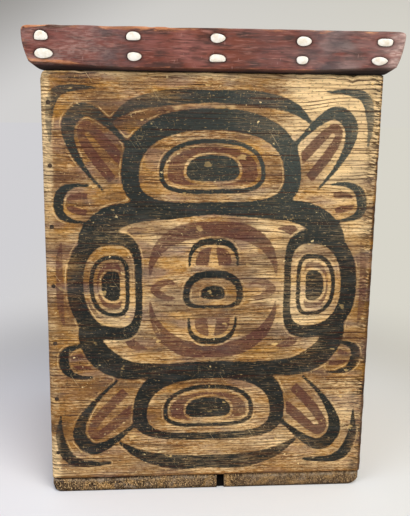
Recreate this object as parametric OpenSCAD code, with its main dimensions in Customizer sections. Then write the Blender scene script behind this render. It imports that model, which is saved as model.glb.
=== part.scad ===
// Kerf-bent wooden storage box with a heavy inlaid lid that lifts off.
// Millimetres. +Z is up, the front faces -Y, and the origin is the middle of the underside.

/* [Side plank] */
// Width of the box across its front
box_w = 400; // [340:1:460]
// Depth of the box from front to back
box_d = 350; // [300:1:420]
// Height of the plank that is bent into the four walls
plank_h = 505; // [400:1:600]
// Thickness of the plank
plank_t = 18; // [16:0.5:22]
// Outside radius of the corners
corner_r = 9; // [5:0.5:12]
// Width of the kerf line on the inside of a bent corner
kerf_w = 1; // [0.6:0.1:2]
// Depth of the kerf along the corner's diagonal
kerf_depth = 9; // [4:0.5:12]

/* [Corner joint] */
// Thickness of the lip that laps over the end of the left wall
lip_t = 8; // [6:0.5:10]
// Gap between the plank's two ends
joint_gap = 0.3; // [0.1:0.1:0.6]
// Diameter of the pegs that close the joint
corner_peg_d = 5; // [3:0.5:6]
// Length of one of those pegs
corner_peg_len = 36; // [24:1:50]
// How far a peg's head lies below the front face
corner_peg_sink = 1; // [0.5:0.1:2]
// Number of pegs up the corner
corner_peg_count = 7; // [4:1:9]
// Distance from the plank's upper or lower edge to the nearest peg
corner_peg_end = 36; // [34:1:60]

/* [Base board] */
// Thickness of the base's rim, which the walls stand on
base_t = 18; // [12:0.5:24]
// Outside radius of the base's corners
base_corner_r = 12; // [6:0.5:20]
// How far the raised middle stands up inside the walls
panel_rise = 12; // [6:0.5:20]
// Gap around the raised middle
panel_gap = 0.5; // [0.3:0.1:1.5]
// Width of the notch in the front edge
notch_w = 9; // [6:0.5:12]
// Depth of the notch at its top
notch_depth = 12; // [6:0.5:14]
// Depth of the notch at the underside, which its back slants down to
notch_foot = 4; // [2:0.5:6]
// How far the notch lies to the right of the middle
notch_x = 15; // [8:0.5:22]

/* [Base pegs] */
// Diameter of the pegs
base_peg_d = 6; // [4:0.5:8]
// How far a peg goes up into the wall
base_peg_bite = 26; // [14:1:30]
// Lean of a peg toward the middle of its wall, in degrees
base_peg_lean = 8; // [0:1:12]
// How far a peg's foot stops short of the underside
base_peg_sink = 0.4; // [0.2:0.1:1]
// Distance from a corner of the box to the nearest peg
base_peg_inset = 28; // [26:1:45]
// Number of pegs along the front, and along the back
base_peg_count_wide = 6; // [4:1:7]
// Number of pegs along each side
base_peg_count_deep = 5; // [3:1:6]

/* [Lid] */
// How far out from the wall the lid's face begins
lid_reach = 10.5; // [6:0.5:16]
// How much further out the face leans by its top edge
lid_flare = 7; // [3:0.5:12]
// Height of the bevel under the lid's edge
lid_bevel_h = 7; // [4:0.5:10]
// Height of the face
lid_face_h = 41; // [34:0.5:52]
// Radius of the lid's corners
lid_corner_r = 6; // [3:0.5:10]
// Depth of the rim that drops inside the walls
plug_depth = 14; // [8:0.5:20]
// Width of that rim
plug_w = 26; // [18:1:40]
// Gap between that rim and the walls
plug_gap = 2; // [1:0.25:4]
// Thickness of the wood left over the lid's hollow
lid_top_t = 24; // [16:0.5:30]

/* [Shell inlays] */
// Widths of the upper row's shells, from left to right
upper_widths = [15, 16, 17, 17, 18]; // [12:0.5:22]
// Heights of the upper row's shells
upper_heights = [10.5, 9.5, 10, 10.5, 8.5]; // [8:0.5:12]
// Widths of the lower row's shells
lower_widths = [20.5, 16, 18.5, 13.5, 19]; // [12:0.5:22]
// Heights of the lower row's shells
lower_heights = [11, 9.5, 8.5, 9, 9.5]; // [8:0.5:12]
// Distance from the lid's end to the middle of the nearest shells
shell_margin = 23.5; // [18:0.5:40]
// Distance from the lid's top edge down to the middle of the upper row
upper_drop = 12.25; // [9:0.25:14]
// Distance from the face's lower edge up to the middle of the lower row
lower_rise = 8.25; // [8:0.25:12]
// Depth of a shell's socket
socket_depth = 3; // [2:0.25:5]
// How far a shell's dome stands out of the face
shell_proud = 1; // [0.6:0.1:1.6]
// Radius of a shell's dome
shell_dome_r = 45; // [35:1:80]
// Gap around a shell in its socket
shell_gap = 0.3; // [0.2:0.05:0.5]

/* [Fits] */
// Gap around a peg in its hole
peg_fit = 0.1; // [0.05:0.05:0.3]
// Spare depth past the end of a peg
peg_spare = 0.5; // [0.3:0.1:2]

/* [Hidden] */
WALLS = ["front", "back", "left", "right"];
ROWS = ["upper", "lower"];
SHELLS_PER_ROW = len(upper_widths);

// How far a cutting solid runs past the face that it cuts
over = 1;
// Sides of a round piece, and of a shell's outline
$fn = 64;
shell_sides = 28;

inner_w = box_w - 2 * plank_t;
inner_d = box_d - 2 * plank_t;
wall_top = base_t + plank_h;
lid_face_z = wall_top + lid_bevel_h;
lid_top_z = lid_face_z + lid_face_h;
lid_w = box_w + 2 * (lid_reach + lid_flare);
lid_d = box_d + 2 * (lid_reach + lid_flare);
face_lean = atan(lid_flare / lid_face_h);
plug_outer_w = inner_w - 2 * plug_gap;
plug_outer_d = inner_d - 2 * plug_gap;
shell_pitch = (lid_w - 2 * shell_margin) / (SHELLS_PER_ROW - 1);

// How square, how egg-shaped and how flat-bottomed each shell is,
// and how far it sits to the right of its column and above its row
UPPER_FORMS = [
    [2, 0, 0.5, -1, -1],
    [2, 0, 0.5, 3.5, 0.25],
    [2, 0.12, 0, 1, 1],
    [2.1, 0, 0, 2, -0.5],
    [3, 0, 0, -1, 0]
];
LOWER_FORMS = [
    [2, 0, 0, 1, 2],
    [2.1, 0.1, 0, 4.5, 0.25],
    [2.3, 0.15, 0.6, 1.5, -1.75],
    [2.4, 0, 0, 1.5, -0.5],
    [1.8, 0, 0, -5.5, 0]
];

function base_pegs_name(wall) = str("base_pegs_", wall);
function shell_name(row, i) = str(row, "_shell_", i + 1);

function shell_width(row, i) = row == "upper" ? upper_widths[i] : lower_widths[i];
function shell_height(row, i) = row == "upper" ? upper_heights[i] : lower_heights[i];
function shell_form(row, i) = row == "upper" ? UPPER_FORMS[i] : LOWER_FORMS[i];
function shell_x(row, i) = shell_margin - lid_w / 2 + i * shell_pitch + shell_form(row, i)[3];
function shell_up(row, i) = (row == "upper" ? lid_face_h - upper_drop : lower_rise) + shell_form(row, i)[4];

// A rounded outline: square 2 is an ellipse and more is boxier, egg narrows its right end,
// and flat presses its lower half up.
function shell_outline(w, h, square, egg, flat) = [
    for (i = [0 : shell_sides - 1])
        let (
            turn = 360 * i / shell_sides,
            x = sign(cos(turn)) * pow(abs(cos(turn)), 2 / square),
            y = sign(sin(turn)) * pow(abs(sin(turn)), 2 / square),
            press = y < 0 ? 1 - flat : 1
        )
        [w / 2 * x, h / (2 - flat) * y * press * (1 - egg * x)]
];

// The lid's outline seen along a wall, for walls that are half this far apart.
function lid_profile(half) = [
    [-half, wall_top],
    [half, wall_top],
    [half + lid_reach, lid_face_z],
    [half + lid_reach + lid_flare, lid_top_z],
    [-half - lid_reach - lid_flare, lid_top_z],
    [-half - lid_reach, lid_face_z]
];

// Places of count pegs along a wall of this length, measured from its middle.
function peg_places(length, end, count) = [
    for (i = [0 : count - 1]) end - length / 2 + i * (length - 2 * end) / (count - 1)
];

module rounded_rect(w, d, r) {
    square([w - 2 * r, d], center = true);
    square([w, d - 2 * r], center = true);
    for (x = [-1, 1], y = [-1, 1])
        translate([x * (w / 2 - r), y * (d / 2 - r)])
            circle(r);
}

module block(w, d, z0, z1) {
    translate([-w / 2, -d / 2, z0])
        cube([w, d, z1 - z0]);
}

// A peg that leans along X, with both ends cut level.
module leaning_peg(d, lean, z0, z1) {
    intersection() {
        rotate([0, lean, 0])
            translate([0, 0, z0 - d])
                cylinder(d = d, h = z1 - z0 + 3 * d);
        block(2 * z1, 2 * z1, z0, z1);
    }
}

module peg_row(length, count, d, z0, z1) {
    for (x = peg_places(length, base_peg_inset, count))
        translate([x, 0, 0])
            leaning_peg(d, -sign(x) * base_peg_lean, z0, z1);
}

// The pegs under one wall, or with a larger diameter their holes.
module base_peg_row(wall, d, z0, z1) {
    deep = wall == "left" || wall == "right";
    way = wall == "front" || wall == "left" ? -1 : 1;
    half = (deep ? box_w : box_d) / 2 - plank_t / 2;
    length = deep ? box_d : box_w;
    count = deep ? base_peg_count_deep : base_peg_count_wide;
    translate(deep ? [way * half, 0, 0] : [0, way * half, 0])
        rotate([0, 0, deep ? 90 : 0])
            peg_row(length, count, d, z0, z1);
}

module base_peg_holes() {
    for (wall = WALLS)
        base_peg_row(wall, base_peg_d + 2 * peg_fit, -over, base_t + base_peg_bite + peg_spare);
}

// The pegs of the corner joint, or with a larger diameter their holes.
module corner_peg_row(d, y0, y1) {
    for (z = peg_places(plank_h, corner_peg_end, corner_peg_count))
        translate([plank_t / 2 - box_w / 2, y0 - box_d / 2, base_t + plank_h / 2 + z])
            rotate([-90, 0, 0])
                cylinder(d = d, h = y1 - y0);
}

// The joint line: behind the lip, then along the front wall's shoulder to the inside.
module corner_joint_cut() {
    corner = [-box_w / 2, -box_d / 2];
    translate([corner[0] - over, corner[1] + lip_t, base_t - over])
        cube([plank_t + joint_gap + over, joint_gap, plank_h + 2 * over]);
    translate([corner[0] + plank_t, corner[1] + lip_t, base_t - over])
        cube([joint_gap, plank_t - lip_t + over, plank_h + 2 * over]);
}

// The kerf lines inside the three bent corners.
module kerf_cuts() {
    for (corner = [[1, -1], [1, 1], [-1, 1]])
        translate([corner[0] * inner_w / 2, corner[1] * inner_d / 2, base_t - over])
            rotate([0, 0, atan2(corner[1], corner[0])])
                translate([-kerf_w, -kerf_w / 2, 0])
                    cube([kerf_depth + kerf_w, kerf_w, plank_h + 2 * over]);
}

// Sets what follows on the lid's leaning front face, with its own +Z out of the face.
module on_lid_face(x, up) {
    out = box_d / 2 + lid_reach + lid_flare * up / lid_face_h;
    translate([x, -out, lid_face_z + up])
        rotate([90 + face_lean, 0, 0])
            children();
}

// A prism of a shell's outline, widened all round by gap, between two depths.
module shell_prism(row, i, gap, z0, z1) {
    form = shell_form(row, i);
    w = shell_width(row, i) + 2 * gap;
    h = shell_height(row, i) + 2 * gap;
    translate([0, 0, z0])
        linear_extrude(z1 - z0)
            polygon(shell_outline(w, h, form[0], form[1], form[2]));
}

module side_plank() {
    color("#8a6a44")
        difference() {
            translate([0, 0, base_t])
                linear_extrude(plank_h)
                    rounded_rect(box_w, box_d, corner_r);
            block(inner_w, inner_d, base_t - over, wall_top + over);
            kerf_cuts();
            corner_joint_cut();
            corner_peg_row(corner_peg_d + 2 * peg_fit, -over, corner_peg_sink + corner_peg_len + peg_spare);
            base_peg_holes();
        }
}

module corner_pegs() {
    color("#4a3726")
        corner_peg_row(corner_peg_d, corner_peg_sink, corner_peg_sink + corner_peg_len);
}

module base_board() {
    color("#644f3a")
        difference() {
            union() {
                linear_extrude(base_t)
                    rounded_rect(box_w, box_d, base_corner_r);
                block(inner_w - 2 * panel_gap, inner_d - 2 * panel_gap, 0, base_t + panel_rise);
            }
            translate([notch_x - notch_w / 2, -box_d / 2, 0])
                rotate([90, 0, 90])
                    linear_extrude(notch_w)
                        polygon([
                            [-over, -over],
                            [notch_foot, -over],
                            [notch_foot, 0],
                            [notch_depth, base_t],
                            [notch_depth, base_t + over],
                            [-over, base_t + over]
                        ]);
            base_peg_holes();
        }
}

module base_pegs(wall) {
    color("#5a4430")
        base_peg_row(wall, base_peg_d, base_peg_sink, base_t + base_peg_bite);
}

module lid() {
    hollow_w = plug_outer_w - 2 * plug_w;
    hollow_d = plug_outer_d - 2 * plug_w;
    color("#815245")
        difference() {
            union() {
                intersection() {
                    rotate([90, 0, 0])
                        linear_extrude(lid_d, center = true)
                            polygon(lid_profile(box_w / 2));
                    rotate([90, 0, 90])
                        linear_extrude(lid_w, center = true)
                            polygon(lid_profile(box_d / 2));
                    translate([0, 0, wall_top])
                        linear_extrude(lid_top_z - wall_top)
                            rounded_rect(lid_w, lid_d, lid_corner_r);
                }
                block(plug_outer_w, plug_outer_d, wall_top - plug_depth, lid_face_z);
            }
            block(hollow_w, hollow_d, wall_top - plug_depth - over, lid_top_z - lid_top_t);
            for (row = ROWS, i = [0 : SHELLS_PER_ROW - 1])
                on_lid_face(shell_x(row, i), shell_up(row, i))
                    shell_prism(row, i, shell_gap, -socket_depth, over);
        }
}

module shell(row, i) {
    color("#f5ece4")
        on_lid_face(shell_x(row, i), shell_up(row, i))
            intersection() {
                shell_prism(row, i, 0, -socket_depth, shell_proud);
                translate([0, 0, shell_proud - shell_dome_r])
                    sphere(shell_dome_r);
            }
}

side_plank();
corner_pegs();
base_board();
for (wall = WALLS)
    base_pegs(wall);
lid();
for (row = ROWS, i = [0 : SHELLS_PER_ROW - 1])
    shell(row, i);
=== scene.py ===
"""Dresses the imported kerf-bent box: aged cedar, worn paint, shell inlays and a plain studio."""
import logging
import math
from dataclasses import dataclass, field, replace
from enum import Enum
from typing import NamedTuple

import bmesh
import bpy
import numpy as np
from mathutils import Matrix, Vector
from mathutils.kdtree import KDTree


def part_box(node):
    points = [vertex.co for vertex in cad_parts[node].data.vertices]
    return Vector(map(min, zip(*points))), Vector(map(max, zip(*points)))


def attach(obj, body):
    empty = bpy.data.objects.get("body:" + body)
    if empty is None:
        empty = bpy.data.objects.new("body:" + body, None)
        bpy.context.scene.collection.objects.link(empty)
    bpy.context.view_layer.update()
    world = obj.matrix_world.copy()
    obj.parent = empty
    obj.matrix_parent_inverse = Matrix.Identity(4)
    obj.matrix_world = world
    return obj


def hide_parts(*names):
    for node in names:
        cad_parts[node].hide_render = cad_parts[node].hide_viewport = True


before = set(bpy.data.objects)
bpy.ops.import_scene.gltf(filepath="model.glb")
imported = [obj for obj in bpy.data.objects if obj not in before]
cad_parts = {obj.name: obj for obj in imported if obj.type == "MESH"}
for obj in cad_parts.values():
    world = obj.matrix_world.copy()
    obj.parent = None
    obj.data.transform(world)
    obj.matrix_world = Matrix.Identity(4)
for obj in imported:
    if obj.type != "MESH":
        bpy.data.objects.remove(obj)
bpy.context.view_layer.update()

LOG = logging.getLogger("bentwood_box")
MM = 0.001
FAR_MM = 40.0
SAME_MM = 0.01
TINY = 1e-9

Array = np.ndarray
Socket = bpy.types.NodeSocket
Tree = bpy.types.NodeTree
Feed = Socket | str | tuple[Socket, float, float]
Fade = tuple[float, float]
Knot = tuple[float, float, float]
Stroke = tuple[Knot, ...]


class Body(Enum):
    """The two bodies of the box, named as in the frame."""

    BOX = "box"
    LID = "lid"


class Slot(Enum):
    """The record's material slots, named for the dressed pieces."""

    PLANK = "painted_cedar"
    BASE = "base_cedar"
    LID = "lid_cedar"
    SHELL = "shell"


# Small helpers


def linear(code: str) -> tuple[float, float, float, float]:
    """Turns an sRGB hex code into a linear colour.

    Args:
        code: six hex digits after a hash sign.

    Returns:
        Red, green, blue and an alpha of one.
    """
    parts = [int(code[i:i + 2], 16) / 255 for i in (1, 3, 5)]
    red, green, blue = (p / 12.92 if p <= 0.04045 else ((p + 0.055) / 1.055) ** 2.4 for p in parts)
    return red, green, blue, 1.0


def add_node(tree: Tree, kind: str, settings: dict | None = None,
             links: dict[int | str, Feed] | None = None) -> bpy.types.Node:
    """Adds one node to a tree.

    Args:
        tree: the tree that gets the node.
        kind: Blender's name of the node type.
        settings: input values by socket number or capitalised name, and properties by lower-case name.
        links: what feeds each named or numbered input: an output socket, the name of a number that the
            piece stores at its vertices, or a place with the millimetres that one pattern cell takes
            along and across the grain.

    Returns:
        The new node.
    """
    node = tree.nodes.new(kind)
    for name, value in (settings or {}).items():
        if isinstance(name, str) and name[0].islower():
            setattr(node, name, value)
    for name, value in (settings or {}).items():
        if isinstance(name, int) or name[0].isupper():
            node.inputs[name].default_value = value
    for name, feed in (links or {}).items():
        if isinstance(feed, str):
            feed = add_node(tree, "ShaderNodeAttribute", {"attribute_name": feed}).outputs["Fac"]
        elif isinstance(feed, tuple):
            place, along_mm, across_mm = feed
            cells = {"operation": "MULTIPLY", 1: (1 / along_mm, 1 / across_mm, 1 / across_mm)}
            feed = add_node(tree, "ShaderNodeVectorMath", cells, {0: place}).outputs[0]
        tree.links.new(feed, node.inputs[name])
    return node


def smoothstep(start: float, end: float, value: Array) -> Array:
    """Eases from 0 at the start to 1 at the end."""
    t = np.clip((value - start) / (end - start), 0, 1)
    return t * t * (3 - 2 * t)


def faded(value: Array, *fades: Fade) -> Array | float:
    """Multiplies fades, each from 0 at its first place to 1 at its second.

    Args:
        value: where each point lies.
        fades: the two places of each fade.

    Returns:
        Share from 0 to 1 at each point.
    """
    share = 1.0
    for start, full in fades:
        share = share * smoothstep(start, full, value)
    return share


def bell(value: Array, middle: float, run: float) -> Array:
    """Rises to 1 at a middle and falls away over a run to both sides."""
    return np.exp(-((value - middle) / run) ** 2)


def lattice_noise(x: Array, y: Array, seed: int) -> Array:
    """Smooth repeatable noise on a unit lattice.

    Args:
        x: first coordinate of each point, in lattice cells.
        y: second coordinate of each point.
        seed: chooses one noise among many.

    Returns:
        A value from 0 to 1 for each point.
    """
    column, row = np.floor(x).astype(np.int64), np.floor(y).astype(np.int64)
    fx, fy = x - column, y - row
    fx, fy = fx * fx * (3 - 2 * fx), fy * fy * (3 - 2 * fy)

    def value(i: Array, j: Array) -> Array:
        """Value of one lattice corner, hashed with large odd numbers.

        Args:
            i: its column.
            j: its row.

        Returns:
            A number from 0 to 1.
        """
        mixed = (i * 374761393 + j * 668265263 + seed * 1442695041) & 0xFFFFFFFF
        mixed = ((mixed ^ (mixed >> 13)) * 1274126177) & 0xFFFFFFFF
        return ((mixed ^ (mixed >> 16)) & 0xFFFF) / 65535.0

    near = value(column, row) * (1 - fx) + value(column + 1, row) * fx
    far = value(column, row + 1) * (1 - fx) + value(column + 1, row + 1) * fx
    return near * (1 - fy) + far * fy


class Patchwork(NamedTuple):
    """Repeatable patches on a piece: cell in millimetres, seed, strength and shift with depth."""

    along: float
    up: float
    seed: int
    most: float = 1.0
    shift: tuple[float, float] = (0.0, 0.0)

    def at(self, along: Array, up: Array, deep: Array | float = 0.0) -> Array:
        """Value from 0 to the most at each place along, up and deep in the piece."""
        along, up = along + self.shift[0] * deep, up + self.shift[1] * deep
        return self.most * lattice_noise(along / self.along, up / self.up, self.seed)


class Ramp(NamedTuple):
    """A share that rises from 0 at one place to its most at another."""

    most: float
    start: float
    full: float

    def at(self, value: Array) -> Array:
        """Share at each place."""
        return self.most * smoothstep(self.start, self.full, value)


class Bump(NamedTuple):
    """A share that is most at a middle and falls away over a run to both sides."""

    most: float
    middle: float
    run: float

    def at(self, value: Array) -> Array:
        """Share at each place."""
        return self.most * bell(value, self.middle, self.run)


def add_object(name: str, data: bpy.types.ID) -> bpy.types.Object:
    """Adds an object with this data to the scene.

    Args:
        name: its name.
        data: its mesh, light or camera.

    Returns:
        The object.
    """
    thing = bpy.data.objects.new(name, data)
    bpy.context.scene.collection.objects.link(thing)
    return thing


def make_piece(name: str, points: Array, faces: list, material: bpy.types.Material) -> bpy.types.Object:
    """Makes a mesh object.

    Args:
        name: name of the piece.
        points: one row per vertex, in millimetres.
        faces: vertex numbers of each face.
        material: its finish.

    Returns:
        The object, linked to the scene.
    """
    mesh = bpy.data.meshes.new(name)
    mesh.from_pydata((points * MM).tolist(), [], faces)
    mesh.validate()
    mesh.materials.append(material)
    return add_object(name, mesh)


def read_points(piece: bpy.types.Object) -> Array:
    """Gives a piece's vertices, one row each, in millimetres.

    Args:
        piece: the piece.

    Returns:
        The points.
    """
    flat = np.empty(3 * len(piece.data.vertices))
    piece.data.vertices.foreach_get("co", flat)
    return flat.reshape(-1, 3) / MM


def press_in(piece: bpy.types.Object, depth: Array) -> None:
    """Presses each vertex in along its own normal.

    Args:
        piece: the piece that is changed.
        depth: millimetres for each vertex.
    """
    normals = np.empty(3 * len(piece.data.vertices))
    piece.data.vertex_normals.foreach_get("vector", normals)
    points = read_points(piece) - normals.reshape(-1, 3) * depth[:, None]
    piece.data.vertices.foreach_set("co", (points * MM).ravel())
    piece.data.update()


def put_values(piece: bpy.types.Object, name: str, values: Array) -> None:
    """Stores one number or one vector per vertex under a name that the finish reads.

    Args:
        piece: the piece.
        name: what the finish calls them.
        values: one row per vertex.
    """
    kind, key = ("FLOAT_VECTOR", "vector") if values.ndim == 2 else ("FLOAT", "value")
    layer = piece.data.attributes.get(name) or piece.data.attributes.new(name, kind, "POINT")
    layer.data.foreach_set(key, np.ascontiguousarray(values, dtype=np.float32).ravel())


def cut_out(piece: bpy.types.Object, cutters: list[bpy.types.Object]) -> None:
    """Cuts other meshes out of a piece and removes them.

    Args:
        piece: what is cut.
        cutters: closed meshes, which are used up.
    """
    for cutter in cutters:
        change = piece.modifiers.new("cut", "BOOLEAN")
        change.operation, change.solver, change.object = "DIFFERENCE", "EXACT", cutter
    done = bpy.data.meshes.new_from_object(piece.evaluated_get(bpy.context.evaluated_depsgraph_get()))
    piece.modifiers.clear()
    piece.data = done
    for cutter in cutters:
        bpy.data.objects.remove(cutter)


def shade(piece: bpy.types.Object, sharp_deg: float = 38) -> None:
    """Shades a piece smooth, except at edges that turn more than this."""
    piece.data.shade_smooth()
    piece.data.set_sharp_from_angle(angle=math.radians(sharp_deg))


def peg_cutter(node: str, way: tuple[float, float, float], room: float) -> bpy.types.Object:
    """Copies a row of CAD pegs as a cutter for their holes.

    Args:
        node: the row's name.
        way: direction in which the holes open.
        room: millimetres of play round each peg.

    Returns:
        The cutter.
    """
    weld, mouth_depth, reach = 0.02 * MM, 2 * MM, 3 * MM
    bm = bmesh.new()
    bm.from_mesh(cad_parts[node].data)
    bmesh.ops.remove_doubles(bm, verts=bm.verts, dist=weld)
    bm.normal_update()
    way = Vector(way)
    level = [v.co.dot(way) for v in bm.verts]
    mouth = max(level) - mouth_depth
    for vertex, height in zip(bm.verts, level):
        vertex.co += vertex.normal * room * MM
        if height > mouth:
            vertex.co += way * reach
    mesh = bpy.data.meshes.new("peg_holes")
    bm.to_mesh(mesh)
    bm.free()
    return add_object("peg_holes", mesh)


def settle(piece: bpy.types.Object, body: Body, slot: Slot, *nodes: str) -> None:
    """Lets a piece stand for CAD nodes and ride on their body.

    Args:
        piece: the dressed piece.
        body: the body it moves with.
        slot: the record's material slot, which is not used.
        nodes: the CAD nodes that it replaces.
    """
    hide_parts(*nodes)
    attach(piece, body.value)
    LOG.info("%s: %d faces, rides on %s", piece.name, len(piece.data.polygons), body.value)


# The painted design on the front


def power(value: Array, squareness: Array | float) -> Array:
    """Bends a sine or cosine so that it draws a squarer round."""
    return np.sign(value) * np.abs(value) ** (2 / squareness)


def turned(points: Array, across: float, up: float, degrees: float) -> Array:
    """Turns flat points about the origin and then moves them.

    Args:
        points: one row per point.
        across: the move to the right.
        up: the move upward.
        degrees: the turn, counter-clockwise.

    Returns:
        The moved points.
    """
    c, s = math.cos(math.radians(degrees)), math.sin(math.radians(degrees))
    moved = points.copy()
    moved[:, 0] = across + points[:, 0] * c - points[:, 1] * s
    moved[:, 1] = up + points[:, 0] * s + points[:, 1] * c
    return moved


def smooth_path(knots: Stroke, steps: int = 10) -> Array:
    """Runs a smooth curve through knots.

    Args:
        knots: place across, place up and half width of the brush at each knot.
        steps: points for each span.

    Returns:
        One row per point, with the same three columns.
    """
    k = np.array([knots[0], *knots, knots[-1]], float)
    out = []
    for p0, p1, p2, p3 in zip(k, k[1:], k[2:], k[3:]):
        for t in np.arange(steps) / steps:
            bend = (2 * p0 - 5 * p1 + 4 * p2 - p3) * t ** 2 + (3 * p1 - p0 - 3 * p2 + p3) * t ** 3
            out.append(0.5 * (2 * p1 + (p2 - p0) * t + bend))
    return np.array([*out, k[-1]])


def near_box(at: Array, points: Array) -> Array:
    """Tells which places lie close to the box around some points."""
    low, high = points[:, :2].min(0) - FAR_MM, points[:, :2].max(0) + FAR_MM
    return np.all((at > low) & (at < high), axis=1)


def stroke_distance(at: Array, path: Array) -> Array:
    """Distance from a brush stroke of changing width.

    Args:
        at: places on the front, in millimetres.
        path: points of the stroke, with half widths.

    Returns:
        Millimetres outside the stroke's edge, negative inside it.
    """
    out = np.full(len(at), FAR_MM)
    pick = near_box(at, path)
    p = at[pick]
    best = np.full(len(p), FAR_MM)
    for a, b in zip(path[:-1], path[1:]):
        run = b[:2] - a[:2]
        t = np.clip(((p - a[:2]) @ run) / (run @ run + TINY), 0, 1)
        gap = np.hypot(*(p - a[:2] - t[:, None] * run).T) - (a[2] + t * (b[2] - a[2]))
        best = np.minimum(best, gap)
    out[pick] = best
    return out


def shape_distance(at: Array, outline: Array) -> Array:
    """Distance from the edge of a closed outline, negative inside it.

    Args:
        at: one row per place.
        outline: its points in order.

    Returns:
        Millimetres for each place.
    """
    out = np.full(len(at), FAR_MM)
    pick = near_box(at, outline)
    p = at[pick]
    best = np.full(len(p), FAR_MM ** 2)
    inside = np.zeros(len(p), bool)
    for a, b in zip(outline, np.roll(outline, -1, axis=0)):
        run, away = b - a, p - a
        t = np.clip((away @ run) / (run @ run + TINY), 0, 1)
        best = np.minimum(best, ((away - t[:, None] * run) ** 2).sum(1))
        crosses = (a[1] > p[:, 1]) != (b[1] > p[:, 1])
        slope = run[0] / run[1] if run[1] else 0.0
        inside ^= crosses & (p[:, 0] < a[0] + slope * (p[:, 1] - a[1]))
    gap = np.sqrt(best)
    out[pick] = np.where(inside, -gap, gap)
    return out


def flow(a: Array, b: Array, width: float) -> Array:
    """Joins two painted forms with a small fillet where they meet."""
    h = np.clip(0.5 + 0.5 * (b - a) / width, 0, 1)
    return b + (a - b) * h - width * h * (1 - h)


@dataclass(frozen=True)
class Ovoid:
    """A rounded form with a bulging top and a slightly hollow bottom edge."""

    across: float
    up: float
    half_w: float
    half_h: float
    turn: float = 0.0
    band: float = 14.0
    squareness: float = 2.6
    top_crown: float = 0.08
    bottom_crown: float = 0.20
    taper: float = 0.06
    side_band: float = 0.85
    bottom_band: float = 0.62
    steps: int = 80

    def outline(self) -> Array:
        """Closed outline, one row per point.

        Returns:
            The points in order.
        """
        a = np.linspace(0, 2 * math.pi, self.steps, endpoint=False)
        x, y = power(np.cos(a), self.squareness), power(np.sin(a), self.squareness)
        crown = np.where(y > 0, self.top_crown, self.bottom_crown) * (1 - x ** 2) * np.abs(y)
        flat = np.stack([self.half_w * x * (1 - self.taper * y), self.half_h * (y + crown)], 1)
        return turned(flat, self.across, self.up, self.turn)

    def within(self, side: float, top: float, bottom: float) -> "Ovoid":
        """Smaller ovoid inside this one.

        Args:
            side: millimetres left at each side.
            top: millimetres left at the top.
            bottom: millimetres left at the bottom.

        Returns:
            The inner ovoid.
        """
        drop, lean = (top - bottom) / 2, math.radians(self.turn)
        return replace(self, across=self.across + drop * math.sin(lean), up=self.up - drop * math.cos(lean),
                       half_w=self.half_w - side, half_h=self.half_h - (top + bottom) / 2)

    def hollow(self) -> "Ovoid":
        """Inner edge of the painted band, which is widest along the top."""
        return self.within(self.side_band * self.band, self.band, self.bottom_band * self.band)

    def share(self, part: float) -> "Ovoid":
        """Ovoid of the same middle and a part of the size."""
        return replace(self, half_w=self.half_w * part, half_h=self.half_h * part)


@dataclass(frozen=True)
class UForm:
    """A band bent into a U, thick at the bend and thin at its open end."""

    across: float
    up: float
    turn: float
    width: float
    length: float
    band: float = 11.0
    bend: float = 0.0
    thin: float = 3.0
    squareness: float = 2.7
    side_band: float = 0.3
    swelling: float = 1.3
    slit_share: float = 0.62
    slit_half: float = 3.2
    slit_tip: float = 0.4
    slit_steps: int = 12
    steps: int = 40

    def path(self, inset: float = 0.0) -> Array:
        """Points along the band with half widths, the whole set in by some millimetres.

        Args:
            inset: how far it is set in.

        Returns:
            Across, up and half width of each point.
        """
        a = np.linspace(0, math.pi, self.steps)
        x, y = power(np.cos(a), self.squareness), power(np.sin(a), self.squareness)
        half = self.width / 2 - self.side_band * self.band - inset
        reach = (self.length - self.band / 2 - inset) * y
        swell = self.thin / 2 + (self.band - self.thin) / 2 * np.sin(a) ** self.swelling
        flat = np.stack([half * x + self.bend * (reach / self.length) ** 2, reach, swell], 1)
        return turned(flat, self.across, self.up, self.turn)

    def slit(self) -> Array:
        """Pointed slit that runs from the open end into the middle of the form.

        Returns:
            Across, up and half width of each point.
        """
        t = np.linspace(0, 1, self.slit_steps)
        reach = self.length * self.slit_share * t
        swell = self.slit_half * (1 - t) + self.slit_tip
        flat = np.stack([self.bend * (reach / self.length) ** 2, reach, swell], 1)
        return turned(flat, self.across, self.up, self.turn)


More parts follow.
